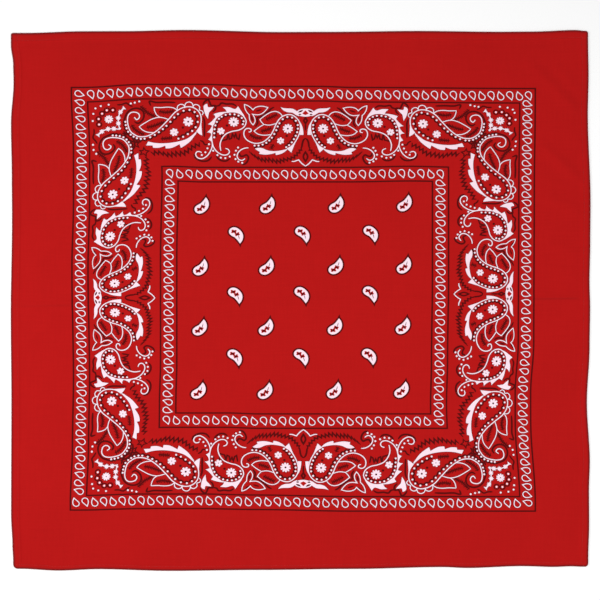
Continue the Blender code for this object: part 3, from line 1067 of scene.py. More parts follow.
@dataclass(frozen=True)
class FieldPaisleys:
    """The small paisleys of the middle: two lattices, one with the tails up and one with them down."""

    tail_up_columns: tuple[float, ...] = (-100.2, -36.9, 29.3, 94.9)
    tail_up_rows: tuple[float, ...] = (-98.5, -33.4, 30.4, 97.7)
    tail_down_columns: tuple[float, ...] = (-66.5, -3.0, 62.7)
    tail_down_rows: tuple[float, ...] = (-66.6, -2.9, 62.9)
    lean: float = 0.009
    middle: Pair = (1.95, -3.2)
    body: Flow = loop(
        (5.7, -11.8), (5.7, -11.8), (3.1, -8.0), (0.7, -5.3), (-2.5, -3.4), (-4.6, -1.1),
        (-5.0, 1.0), (-3.9, 3.7), (-2.1, 5.0), (0, 5.4), (3.0, 4.5), (6.0, 2.0), (8.0, -1.0),
        (8.7, -4.6), (7.9, -8.4))
    rim_pen: Pen = Pen(Ink.BLACK, Layer.UNDER, 3.2, mitre=1.3)
    rim_tail: tuple[Pair, ...] = ((4.2, -11.9), (6.1, -15.9), (7.6, -11))
    stem: Flow = line((3.6, -2.7), (4.6, -4.8), (5, -7.2))
    stem_pen: Pen = Pen(Ink.BLACK, Layer.OVER, 0.7, tip=0.6)
    marks: tuple[tuple[Pair, float, float], ...] = (((-0.2, 0.9), 2.3, -0.12), ((3.0, -1.9), 2.1, 0.35))
    wedge: tuple[Pair, ...] = ((-0.1, -0.45), (0.55, -0.75), (1.0, -0.55), (0.8, 0.0), (1.0, 0.55),
                               (0.55, 0.75), (-0.1, 0.45))
    wedge_gap: float = 1.15
    wedge_ink: float = 0.66

    def mark(self, centre: Pair, half: float, turn: float) -> Iterator[Patch]:
        """Make one dark mark of four lobes inside a body.

        Args:
            centre: its middle.
            half: half its length.
            turn: its turn, in radians.

        Yields:
            Two wedges with notched ends, tip to tip.
        """
        along, aside = Vector((math.cos(turn), math.sin(turn))), Vector((-math.sin(turn), math.cos(turn)))
        for way in (1.0, -1.0):
            for size, ink, layer in ((self.wedge_gap, Ink.GROUND, Layer.GAP),
                                     (self.wedge_ink, Ink.BLACK, Layer.OVER)):
                yield Patch(tuple(Vector(centre) + size * half * (way * a * along + b * aside)
                                  for a, b in self.wedge), ink, layer)

    def one(self) -> list[Patch]:
        """Draw one paisley with its tail up.

        Returns:
            Its rim, body, marks and stem.
        """
        outline = self.body.trace()
        patches = list(self.rim_pen.draw(outline))
        patches.append(Patch(tuple(Vector(p) for p in self.rim_tail), Ink.BLACK, Layer.UNDER))
        patches.append(Patch(tuple(outline[:-1]), Ink.WHITE, Layer.MAIN))
        for centre, half, turn in self.marks:
            patches += self.mark(centre, half, turn)
        patches += self.stem_pen.draw(self.stem.trace())
        return patches

    def placed(self) -> Iterator[Patch]:
        """Yield every paisley of the field, with the second coordinate downwards."""
        shapes = {1.0: self.one()}
        shapes[-1.0] = [Patch(tuple(Vector((p.x, -p.y)) for p in patch.outline), patch.ink, patch.layer)
                        for patch in shapes[1.0]]
        for flip, columns, rows in ((1.0, self.tail_up_columns, self.tail_up_rows),
                                    (-1.0, self.tail_down_columns, self.tail_down_rows)):
            for row in rows:
                for column in columns:
                    move = Vector((column - self.lean * row - self.middle[0],
                                   row - self.lean * column - flip * self.middle[1]))
                    for patch in shapes[flip]:
                        yield Patch(tuple(p + move for p in patch.outline), patch.ink, patch.layer)


@dataclass(frozen=True)
class PrintChart:
    """Lays the ideal square of the print on the cloth: its stations, and the waves of its frames."""

    across: Course = Course((
        (-222.5, -220.0), (-207.3, -204.5), (-138.0, -134.6), (-122.5, -119.0), (0.0, 4.1),
        (122.5, 126.5), (138.0, 142.0), (207.3, 210.2), (222.5, 225.1)), straight=True)
    along: Course = Course((
        (-222.5, 206.3), (-207.3, 192.3), (-138.0, 128.3), (-122.5, 114.3), (0.0, 2.5),
        (122.5, -109.3), (138.0, -123.2), (207.3, -188.0), (222.5, -202.0)), straight=True)
    outer: float = 207.3
    inner: float = 138.0
    top: Course = Course(((-210, -1), (-150, 2), (-95, 2), (-40, 0), (20, 0), (50, -1), (220, -2)))
    bottom: Course = Course(((-210, 0), (-150, 1.5), (-95, 1.5), (-40, 0.5), (50, -1)))
    left: Course = Course(((-195, -2), (-140, 0), (-75, 1), (30, -0.5), (95, 1), (145, 1), (200, -1)))
    right: Course = Course(((-195, 1), (-115, -3.5), (-90, -3.5), (-40, -0.5), (100, 0), (200, 1)))
    top_inside: Course = Course(((-160, 0), (-125, 1), (-95, 0), (45, 0), (105, 1), (160, 0)))
    bottom_inside: Course = Course(((-160, 0), (-125, 1), (-70, 1), (-40, 0)))
    left_inside: Course = Course(((-190, -3), (-100, -1.5), (-60, -0.5), (40, -0.5), (120, 1), (145, 0)))
    right_inside: Course = Course(((-145, 0), (-100, -1.5), (-60, -0.5), (20, 0.5), (120, 0.5), (145, 0)))

    def _moved(self, place: float, outer: float, inner: float) -> float:
        """Blend the wave of the outer frames into that of the inner ones and out to the middle."""
        if place >= self.inner:
            share = min((place - self.inner) / (self.outer - self.inner), 1.0)
            return inner + (outer - inner) * share
        return inner * place / self.inner

    def to_cloth(self, u: float, v: float) -> Pair:
        """Lay one point of the chart on the cloth.

        Args:
            u: millimetres to the right of the middle of the chart.
            v: millimetres below it.

        Returns:
            The place on the cloth, in metres.
        """
        x, y = self.across.at(u), self.along.at(v)
        down, over = ((self.top, self.top_inside) if v < 0 else (self.bottom, self.bottom_inside))
        wave_y = self._moved(abs(v), down.at(x), over.at(x))
        outer, inner = ((self.left, self.left_inside) if u < 0 else (self.right, self.right_inside))
        wave_x = self._moved(abs(u), outer.at(y), inner.at(y))
        return (x + wave_x) * MM, (y + wave_y) * MM


@dataclass
class PrintFilm:
    """Patches of the print that are laid over one another and cut into one film for each ink."""

    name: str
    form: ClothForm
    chart: PrintChart
    inks: tuple[Ink, ...] = (Ink.WHITE, Ink.BLACK)
    above: float = 0.00010
    below: float = 0.00008
    smallest: float = 1e-4
    merge_within: float = 1e-5
    laid: list[tuple[Layer, Ink, list[Pair]]] = field(default_factory=list)

    def lay(self, patches: Iterable[Patch], place: Callable[[Vector], Pair]) -> None:
        """Add those patches that have one of the film's inks, or that stay bare.

        Args:
            patches: the patches, in their own millimetres.
            place: turns one of their points into a point of the chart.
        """
        for patch in patches:
            if patch.ink not in (*self.inks, Ink.GROUND):
                continue
            outline = [self.chart.to_cloth(*place(point)) for point in patch.outline]
            outline = [(x / MM, y / MM) for x, y in outline]
            area = sum(a[0] * b[1] - b[0] * a[1] for a, b in zip(outline, outline[1:] + outline[:1]))
            if abs(area) < self.smallest:
                continue
            self.laid.append((patch.layer, patch.ink, outline if area > 0 else outline[::-1]))

    def cut(self) -> tuple[list[Vector], dict[Ink, list[tuple[int, ...]]]]:
        """Cut the patches into triangles that each show one ink.

        Returns:
            The corners, in millimetres on the cloth, and the triangles of each ink.
        """
        laid = sorted(self.laid, key=lambda item: item[0])
        corners, outlines = [], []
        for _, _, outline in laid:
            outlines.append(list(range(len(corners), len(corners) + len(outline))))
            corners += [Vector(point) for point in outline]
        edges = []
        for line_points in fold_lines(corners):
            edges += [(len(corners) + i, len(corners) + i + 1) for i in range(len(line_points) - 1)]
            corners += line_points
        inside_outlines, with_sources = 1, True
        points, _, faces, _, _, shown = delaunay_2d_cdt(
            corners, edges, outlines, inside_outlines, self.merge_within, with_sources)
        triangles: dict[Ink, list[tuple[int, ...]]] = {ink: [] for ink in Ink}
        for face, over in zip(faces, shown):
            middle = (points[face[0]] + points[face[1]] + points[face[2]]) / 3.0
            for index in sorted(over, reverse=True):
                if holds(laid[index][2], middle):
                    triangles[laid[index][1]].append(tuple(face))
                    break
        return points, triangles

    def build(self) -> dict[Ink, bpy.types.Object]:
        """Build a thin closed film of each ink on the cloth.

        Returns:
            The film of each ink that the patches hold.
        """
        points, triangles = self.cut()
        films = {}
        for ink in self.inks:
            mesh = bmesh.new()
            made: dict[int, bmesh.types.BMVert] = {}
            for face in triangles[ink]:
                for index in face:
                    if index not in made:
                        x, y = points[index].x * MM, points[index].y * MM
                        made[index] = mesh.verts.new((x, y, self.form.top(x, y) - self.below))
                mesh.faces.new([made[index] for index in face])
            upper = bmesh.ops.extrude_face_region(mesh, geom=mesh.faces[:])["geom"]
            raised = [item for item in upper if isinstance(item, bmesh.types.BMVert)]
            bmesh.ops.translate(mesh, verts=raised, vec=(0.0, 0.0, self.above + self.below))
            bmesh.ops.recalc_face_normals(mesh, faces=mesh.faces[:])
            films[ink] = finished(f"print_{ink.value}_{self.name}", mesh)
            chart_map(films[ink])
        return films


def shapes(motifs: Iterable) -> list[Patch]:
    """Gather the patches of some motifs in order."""
    return [patch for motif in motifs for patch in motif.patches()]


def holds(outline: Sequence[Pair], point: Vector) -> bool:
    """Tell whether a closed outline holds a point.

    Args:
        outline: its corners in order.
        point: the point.

    Returns:
        True where the point lies inside.
    """
    inside = False
    for (ax, ay), (bx, by) in zip(outline, outline[1:] + outline[:1]):
        if (ay > point.y) != (by > point.y):
            if point.x < ax + (point.y - ay) / (by - ay) * (bx - ax):
                inside = not inside
    return inside


def fold_lines(corners: Sequence[Vector]) -> Iterator[list[Vector]]:
    """Give the lines along which a film bends with the two middle folds.

    Args:
        corners: the film's points, in millimetres.

    Yields:
        The points of each line, in millimetres.
    """
    low_x, high_x = min(p.x for p in corners), max(p.x for p in corners)
    low_y, high_y = min(p.y for p in corners), max(p.y for p in corners)
    for upright, folds in ((False, ClothGrid.fold_rows), (True, ClothGrid.fold_columns)):
        for fold in folds:
            for place in sorted({round(place / MM, 4) for place in fold.places()}):
                if upright and low_x < place < high_x:
                    yield [Vector((place, low_y)), Vector((place, high_y))]
                elif not upright and low_y < place < high_y:
                    yield [Vector((low_x, place)), Vector((high_x, place))]


def chart_map(piece: bpy.types.Object) -> None:
    """Give a print film a flat map of its own, seen from above."""
    layer = piece.data.uv_layers.new(name="OFBake")
    for loop_ in piece.data.loops:
        place = piece.data.vertices[loop_.vertex_index].co
        layer.data[loop_.index].uv = (0.5 + place.x / MAP_SPAN, 0.5 + place.y / MAP_SPAN)


def finished(name: str, mesh: bmesh.types.BMesh) -> bpy.types.Object:
    """Turn a bmesh into a smooth-shaded piece at the origin.

    Args:
        name: the piece's name.
        mesh: its shape, which is freed.

    Returns:
        The piece.
    """
    data = bpy.data.meshes.new(name)
    mesh.to_mesh(data)
    mesh.free()
    data.shade_smooth()
    data.set_sharp_from_angle(angle=SHARP_ANGLE)
    piece = bpy.data.objects.new(name, data)
    bpy.context.scene.collection.objects.link(piece)
    log.info("%s: %d faces", name, len(data.polygons))
    return piece


@dataclass(frozen=True)
class FoldBand:
    """A band of close lines where a fold runs, and of wider ones on both sides of it, in metres."""

    start: float
    end: float
    step: float = 0.0006
    beside: float = 0.010
    beside_step: float = 0.0015

    def places(self) -> list[float]:
        """Give the places of the lines."""
        count = round((self.end - self.start) / self.step)
        places = [self.start + self.step * i for i in range(count + 1)]
        places += filled((self.start - self.beside, self.start), self.beside_step)
        places += filled((self.end, self.end + self.beside), self.beside_step)
        return places


class ClothGrid:
    """The bands of close lines at the two middle folds."""

    fold_rows: tuple[FoldBand, ...] = (FoldBand(-0.0084, 0.0054),)
    fold_columns: tuple[FoldBand, ...] = (FoldBand(0.0010, 0.0082),)


@dataclass
class BandanaPrint:
    """The whole print: border, bands, frame lines and field."""

    form: ClothForm
    chart: PrintChart = PrintChart()
    half: float = 222.5
    edge_above: float = 0.00004
    # Inwards from the edge of the print: where the outer slip holds, how much further in the inner
    # one does, how far both go on, and where the squeeze starts and how soon it is full
    outer_slip_at: float = 26.0
    slips_apart: float = 42.0
    slip_shares: Pair = (-0.3, 1.2)
    squeeze_from: float = 15.0
    squeeze_over: float = 11.0
    end_dots: tuple[Pair, ...] = ((55.4, 19.5), (59.2, 18.8), (63.4, 17.7))
    side_dots: tuple[Pair, ...] = ((57.8, 18.6), (62.7, 19.1), (66.6, 21.7))
    top_slip: Course = Course(((0, 0.5), (90, 1.5), (200, 0)))
    bottom_slip: Course = Course(((-190, -0.5), (-140, 0.5), (0, -1.5), (85, 0), (185, 1)))
    left_slips: tuple[Course, Course] = (
        Course(((-190, 1), (-140, 4), (-40, 5), (10, -1), (50, -3.5), (150, -3.5), (200, 0))),
        Course(((-190, 1), (-140, 0), (-90, 2), (-15, 0.5), (50, -4), (175, -3.5), (200, -1))))
    right_slips: tuple[Course, Course] = (
        Course(((-190, -1), (-140, -1), (-90, -3), (25, -4.5), (85, -1), (185, 0))),
        Course(((-190, 0.5), (-90, -2.5), (-15, -2.5), (10, -5), (35, -4.5), (85, -2), (185, -1.5))))
    squeezes: tuple[Course, Course] = (
        Course(((80, 0), (135, 1), (180, 2.5), (220, 3.5))),
        Course(((60, 0), (130, 2.5), (220, 4))))
    bands: tuple[TeardropRow, ...] = (
        TeardropRow(-214.8, -204.1, 215.9, 47, Stamp.HEAD_UP,
                    Course(((0.0, 0.0), (0.3, -0.6), (0.5, -0.4), (0.65, 0.7), (0.85, 0.4),
                            (1.0, 0.0)))),
        TeardropRow(214.2, -217.4, 204.6, 47, Stamp.HEAD_DOWN,
                    Course(((0.0, 0.0), (0.11, -1.0), (0.55, -1.0), (0.85, 0.0)))),
        TeardropRow(-214.8, -216.3, 202.9, 50, Stamp.HEAD_LEFT,
                    Course(((0.0, 0.3), (0.02, 0.9), (0.22, 3.3), (0.33, 3.2), (0.51, 2.1),
                            (0.62, -0.1), (0.9, 0.0)))),
        TeardropRow(214.8, -207.0, 213.3, 50, Stamp.HEAD_LEFT,
                    Course(((0.0, 0.4), (0.08, -2.5), (0.18, -4.0), (0.29, -5.2), (0.39, -4.0),
                            (0.49, -3.2), (0.59, 0.2), (0.8, 3.5), (1.0, 0.6)))),
        TeardropRow(-130.3, -130.5, 129.9, 29, Stamp.HEAD_UP,
                    Course(((0.0, 0.0), (0.18, 0.5), (0.5, -0.7), (0.9, 0.3)))),
        TeardropRow(130.3, -131.2, 118.7, 28, Stamp.HEAD_UP,
                    Course(((0.0, 0.0), (0.2, 0.3), (0.5, -1.0), (0.74, -1.0), (1.0, 0.0)))),
        TeardropRow(-130.3, -120.9, 119.4, 29, Stamp.HEAD_LEFT,
                    Course(((0.0, 0.0), (0.3, 0.2), (0.5, -0.7), (0.7, 0.0)))),
        TeardropRow(130.3, -120.8, 131.2, 30, Stamp.HEAD_LEFT,
                    Course(((0.0, 0.0), (0.14, -1.6), (0.31, -1.9), (0.48, -2.8), (0.66, -0.8),
                            (1.0, 0.0)))),
    )

    def _corner_place(self, side_x: float, side_y: float, swapped: bool) -> Callable[[Vector], Pair]:
        """Make the step from a border unit to the chart for one of its eight copies.

        Args:
            side_x: 1 for a copy on the left, -1 for one on the right.
            side_y: 1 for a copy at the top, -1 for one at the bottom.
            swapped: whether the unit runs along the left or right side of the cloth.

        Returns:
            The step. It holds how far the printing has slipped along the cloth on that side.
        """
        slip = self.top_slip if side_y > 0 else self.bottom_slip
        outer, inner = self.left_slips if side_x > 0 else self.right_slips

        def place(point: Vector) -> Pair:
            """Turn one point of the unit into one of the chart."""
            along, inwards = point
            if not swapped:
                u = side_x * (along - self.half)
                return u + slip.at(u), side_y * (inwards - self.half)
            v = side_y * (along - self.half)
            least, most = self.slip_shares
            share = min(max((inwards - self.outer_slip_at) / self.slips_apart, least), most)
            squeeze = self.squeezes[0].at(along) * (1.0 - share) + self.squeezes[1].at(along) * share
            inwards -= squeeze * min(max((inwards - self.squeeze_from) / self.squeeze_over, 0.0), 1.0)
            return side_x * (inwards - self.half), v + outer.at(v) * (1.0 - share) + inner.at(v) * share
        return place

    def films(self) -> Iterator[PrintFilm]:
        """Yield the films of border, bands and field, and the lower films of their fine edges."""
        unit = shapes((*BorderUnit().motifs(), *CornerUnit().motifs(), *CentreUnit().motifs()))
        top_only = shapes((*CornerUnit().diagonal(), *map(Spot, self.end_dots)))
        side_only = shapes(map(Spot, self.side_dots))
        drops = [drop for row in self.bands for drop in row.drops()]
        band = shapes((*drops, *FrameLines().motifs()))
        edges = {"inks": (Ink.EDGE,), "above": self.edge_above}
        for settings in ({}, edges):
            border = PrintFilm("border", self.form, self.chart, **settings)
            for side_x in (1.0, -1.0):
                for side_y in (1.0, -1.0):
                    for swapped, more in ((False, top_only), (True, side_only)):
                        border.lay(unit + more, self._corner_place(side_x, side_y, swapped))
            yield border
            bands = PrintFilm("bands", self.form, self.chart, **settings)
            bands.lay(band, tuple)
            yield bands
        middle = PrintFilm("field", self.form, self.chart)
        middle.lay(FieldPaisleys().placed(), tuple)
        yield middle


# ---- Cloth, turned hems and stitching ----

def filled(places: Iterable[float], step: float) -> list[float]:
    """Put even stations between given places.

    Args:
        places: places that stay.
        step: the longest gap that is left.

    Returns:
        All stations in order.
    """
    given = sorted(places)
    stations = given[:1]
    for before, after in zip(given, given[1:]):
        if after - before > NO_GAP:
            count = math.ceil((after - before) / step - NO_GAP)
            stations += [before + (after - before) * i / count for i in range(1, count + 1)]
    return stations


def gridded(columns: int, rows: int, marks: Iterable[str] = ()) -> tuple[
        bmesh.types.BMesh, dict[bmesh.types.BMVert, tuple[int, int]]]:
    """Start a mesh with a flat grid.

    Args:
        columns: stations one way.
        rows: stations the other way.
        marks: names of numbers that each point keeps.

    Returns:
        The mesh, and the column and row of each of its points.
    """
    mesh = bmesh.new()
    for mark in marks:
        mesh.verts.layers.float.new(mark)
    bmesh.ops.create_grid(mesh, x_segments=columns - 1, y_segments=rows - 1, size=1.0)
    return mesh, {v: (round((v.co.x + 1.0) / 2.0 * (columns - 1)), round((v.co.y + 1.0) / 2.0 * (rows - 1)))
                  for v in mesh.verts}


@dataclass(frozen=True)
class Cloth:
    """The square of cotton: a thin sheet whose rim rolls over the turned hems."""

    form: ClothForm
    wall: float = 0.00045
    rim: float = 0.00095
    rests: float = 0.00010
    roll: tuple[float, ...] = (60.0, 30.0, 0.0, -30.0, -60.0, -90.0)
    hem_insets: tuple[float, ...] = (0.0014, 0.0019, 0.0025, 0.0033, 0.0043)
    near_stitch: tuple[float, ...] = (-0.0008, 0.0, 0.0008)
    near_step: tuple[float, ...] = (-0.0006, -0.0002, 0.0002, 0.0006, 0.0010)
    plain_step: float = 0.0036
    on_rim: float = 1e-5

    def stations(self, half: float, low: Side, high: Side,
                 folds: Iterable[FoldBand]) -> list[float]:
        """Give the lines of the sheet's grid along one direction.

        Args:
            half: half the cloth's size that way.
            low: the side that the direction starts from.
            high: the side that it ends at.
            folds: the bands where a fold runs across.

        Returns:
            The places of the lines.
        """
        places = []
        for side, sign in ((low, -1.0), (high, 1.0)):
            width = self.form.hem_width(side)
            insets = [self.rim, *self.hem_insets]
            insets += [self.form.stitch_inset(side) + aside for aside in self.near_stitch]
            insets += [width + aside for aside in self.near_step]
            places += [sign * (half - inset) for inset in sorted(insets)]
        for fold in folds:
            places += fold.places()
        return filled(places, self.plain_step)

    def build(self) -> bpy.types.Object:
        """Build the sheet.

        Returns:
            The sheet as one closed thin shell.
        """
        form = self.form
        half_x, half_y = form.half
        columns = self.stations(half_x, Side.LEFT, Side.RIGHT, ClothGrid.fold_columns)
        rows = self.stations(half_y, Side.BOTTOM, Side.TOP, ClothGrid.fold_rows)
        marks = ("flat_x", "flat_y", "wrong_side")
        mesh, numbers = gridded(len(columns), len(rows), marks)
        flat_x, flat_y, wrong_side = (mesh.verts.layers.float[mark] for mark in marks)
        for vert, (column, row) in numbers.items():
            x, y = columns[column], rows[row]
            vert[flat_x], vert[flat_y] = x, y
            vert.co = (*form.on_cloth(x, y), form.top(x, y))
        rim = [edge for edge in mesh.edges if edge.is_boundary]
        for angle in self.roll:
            grown = bmesh.ops.extrude_edge_only(mesh, edges=rim)["geom"]
            rim = [item for item in grown if isinstance(item, bmesh.types.BMEdge)
                   and item.is_boundary]
            for vert in {vert for edge in rim for vert in edge.verts}:
                self._roll_over(vert, vert[flat_x], vert[flat_y], math.radians(angle))
        bmesh.ops.recalc_face_normals(mesh, faces=mesh.faces[:])
        if sum(face.normal.z for face in mesh.faces) < 0.0:
            bmesh.ops.reverse_faces(mesh, faces=mesh.faces[:])
        outer = set(mesh.verts)
        bmesh.ops.solidify(mesh, geom=mesh.faces[:], thickness=self.wall)
        for vert in mesh.verts:
            vert[wrong_side] = 0.0 if vert in outer else 1.0
        return finished("cloth", mesh)

    def _roll_over(self, vert: bmesh.types.BMVert, x: float, y: float, angle: float) -> None:
        """Put one point of the rim on the roll over the edge.

        Args:
            vert: the point.
            x: where its line leaves the top, along the width of the plain rectangle.
            y: the same along the length.
            angle: how far round the roll it is: level outwards is 0, straight down is -90 degrees.
        """
        half_x, half_y = self.form.half
        out_x = math.copysign(1.0, x) if abs(x) > half_x - self.rim - self.on_rim else 0.0
        out_y = math.copysign(1.0, y) if abs(y) > half_y - self.rim - self.on_rim else 0.0
        reach = self.rim * math.cos(angle)
        half = (self.form.top(x, y) - self.rests) / 2
        vert.co = (*self.form.on_cloth(x + out_x * reach, y + out_y * reach),
                   self.rests + half + half * math.sin(angle))


@dataclass(frozen=True)
class TurnedHem:
    """The cloth that is turned under along one side, as one flat strip under the sheet."""

    form: ClothForm
    side: Side
    outer: float = 0.00125
    rests: float = 0.00010
    under_sheet: float = 0.00052
    corner_gap: float = 0.00033
    round_over: float = 0.00035
    step: float = 0.0040
    fold_step: float = 0.0012
    end_steps: Pair = (0.0006, 0.0015)
    thinnest: float = 0.0003
    nose_angles: tuple[float, ...] = (90, 50, 0, -50, -90)
    outer_shares: Pair = (0.6, 0.3)
    beside_outer: Pair = (0.0003, 0.0009)
    beside_stitch: float = 0.0008

    def profile(self) -> list[Pair]:
        """Give the strip's section: insets, and shares of its height, once round."""
        width = self.form.hem_width(self.side)
        stitch = self.form.stitch_inset(self.side)
        near, far = (self.outer + aside for aside in self.beside_outer)
        between = (self.outer + stitch) / 2
        nose = [(width - self.round_over * (1.0 - math.cos(angle)), 0.5 - 0.5 * math.sin(angle))
                for angle in (math.radians(a) for a in self.nose_angles)]
        under = [(inset, 0.0) for inset in (near, between, stitch)]
        over = [(inset, 1.0) for inset in (stitch + self.beside_stitch, stitch,
                                           stitch - self.beside_stitch, between, far, near)]
        return under + nose + over + [(self.outer, share) for share in self.outer_shares]

    def build(self) -> bpy.types.Object:
        """Build the strip.

        Returns:
            The strip as one closed piece.
        """
        form = self.form
        half_x, half_y = form.half
        upright = self.side in (Side.LEFT, Side.RIGHT)
        if upright:
            ends = (-half_y + form.hem_width(Side.BOTTOM) + self.corner_gap,
                    half_y - form.hem_width(Side.TOP) - self.corner_gap)
            folds = ClothGrid.fold_rows
        else:
            ends = (-half_x + self.outer, half_x - self.outer)
            folds = ClothGrid.fold_columns
        places = [*ends]
        for inside in self.end_steps:
            places += [ends[0] + inside, ends[1] - inside]
        for fold in folds:
            places += filled((fold.start, fold.end), self.fold_step)
        stations = filled(places, self.step)
        profile = self.profile()
        mesh, numbers = gridded(len(stations), len(profile) + 1)
        for vert, (column, row) in numbers.items():
            inset, share = profile[row % len(profile)]
            along = stations[column]
            if upright:
                x, y = self.side.value[0] * (half_x - inset), along
            else:
                x, y = along, self.side.value[1] * (half_y - inset)
            height = max(form.top(x, y) - self.under_sheet - self.rests, self.thinnest)
            vert.co = (*form.on_cloth(x, y), self.rests + height * share)
        bmesh.ops.remove_doubles(mesh, verts=mesh.verts[:], dist=SAME_PLACE)
        bmesh.ops.holes_fill(mesh, edges=[edge for edge in mesh.edges if edge.is_boundary])
        bmesh.ops.recalc_face_normals(mesh, faces=mesh.faces[:])
        return finished(f"turned_hem_{self.side.name.lower()}", mesh)


@dataclass(frozen=True)
class Stitching:
    """The line of stitches that holds down one hem, seen on top and underneath."""

    form: ClothForm
    side: Side
    pitch: float = 0.0026
    long: float = 0.0021
    wide: float = 0.00040
    high: float = 0.00030
    sunk: float = 0.00004
    underneath: float = 0.00017
    from_corner: float = 0.0022
    sides: int = 6
    rings: int = 4
    # How far the line of stitches drifts, in metres, and how fast it does, in radians a stitch
    drifts: tuple[Pair, ...] = ((0.00012, 1.7), (0.00010, 0.23))

    def build(self) -> bpy.types.Object:
        """Build all stitches of the side.

        Returns:
            The stitches as one piece.
        """
        form = self.form
        half_x, half_y = form.half
        one = bmesh.new()
        bmesh.ops.create_uvsphere(one, u_segments=self.sides, v_segments=self.rings, radius=1.0)
        stitch = bpy.data.meshes.new("stitch")
        one.to_mesh(stitch)
        one.free()
        mesh = bmesh.new()
        upright = self.side in (Side.LEFT, Side.RIGHT)
        inset = form.stitch_inset(self.side)
        reach = (half_y if upright else half_x) - self.from_corner
        count = int(2.0 * reach / self.pitch)
        for i in range(count):
            along = -reach + (i + 0.5) * 2.0 * reach / count
            drift = sum(size * math.sin(pace * i) for size, pace in self.drifts)
            for top in (True, False):
                centre = along if top else along + self.pitch / 2
                ends = []
                for place in (centre - self.long / 2, centre + self.long / 2):
                    if upright:
                        x, y = self.side.value[0] * (half_x - inset - drift), place
                    else:
                        x, y = place, self.side.value[1] * (half_y - inset - drift)
                    height = form.top(x, y) - self.sunk + self.high / 4 if top else self.underneath
                    ends.append(Vector((*form.on_cloth(x, y), height)))
                run = ends[1] - ends[0]
                size = Matrix.Diagonal((self.wide / 2, self.high / 2, run.length / 2, 1.0))
                turn = run.to_track_quat("Z", "X").to_matrix().to_4x4()
                seat = Matrix.Translation((ends[0] + ends[1]) / 2) @ turn @ size
                stitch.transform(seat)
                mesh.from_mesh(stitch)
                stitch.transform(seat.inverted())
        bpy.data.meshes.remove(stitch)
        return finished(f"stitching_{self.side.name.lower()}", mesh)


# ---- Finishes ----

class Value:
    """A number in a shader. Sums and products with it add their Math nodes."""

    def __init__(self, bench: "Bench", socket: bpy.types.NodeSocket) -> None:
        """Wrap one output socket."""
        self.bench = bench
        self.socket = socket

    def _maths(self, operation: str, *terms: "Value | float") -> "Value":
        """Add one Math node."""
        return self.bench.value("ShaderNodeMath", {"operation": operation}, dict(enumerate(terms)))

    def __add__(self, other: "Value | float") -> "Value":
        """Add."""
        return self._maths("ADD", self, other)

    def __mul__(self, other: "Value | float") -> "Value":
        """Multiply."""
        return self._maths("MULTIPLY", self, other)

    __radd__ = __add__
    __rmul__ = __mul__

    def __sub__(self, other: "Value | float") -> "Value":
        """Take away."""
        return self._maths("SUBTRACT", self, other)

    def __rsub__(self, other: "Value | float") -> "Value":
        """Take this away from a number."""
        return self._maths("SUBTRACT", other, self)

    def sine(self) -> "Value":
        """Take the sine."""
        return self._maths("SINE", self)

    def between(self, low: float, high: float) -> "Value":
        """Scale from a range to 0 to 1, and stop there."""
        return self.bench.value("ShaderNodeMapRange", {"clamp": True},
                                {"Value": self, "From Min": low, "From Max": high})


@dataclass(frozen=True)
class Surface:
    """How a matt cloth or thread takes the light.

    Attributes:
        roughness: its roughness.
        strength: how much of the relief of its threads shows.
        distance: the height, in metres, that a relief of 1 stands for.
        sheen: weight of the soft gloss of its fibres.
        tint: colour of that gloss.
        gloss: how much it mirrors.
        sheen_roughness: roughness of the soft gloss.
    """

    roughness: float
    strength: float
    distance: float
    sheen: float
    tint: Colour
    gloss: float = 0.10
    sheen_roughness: float = 0.5


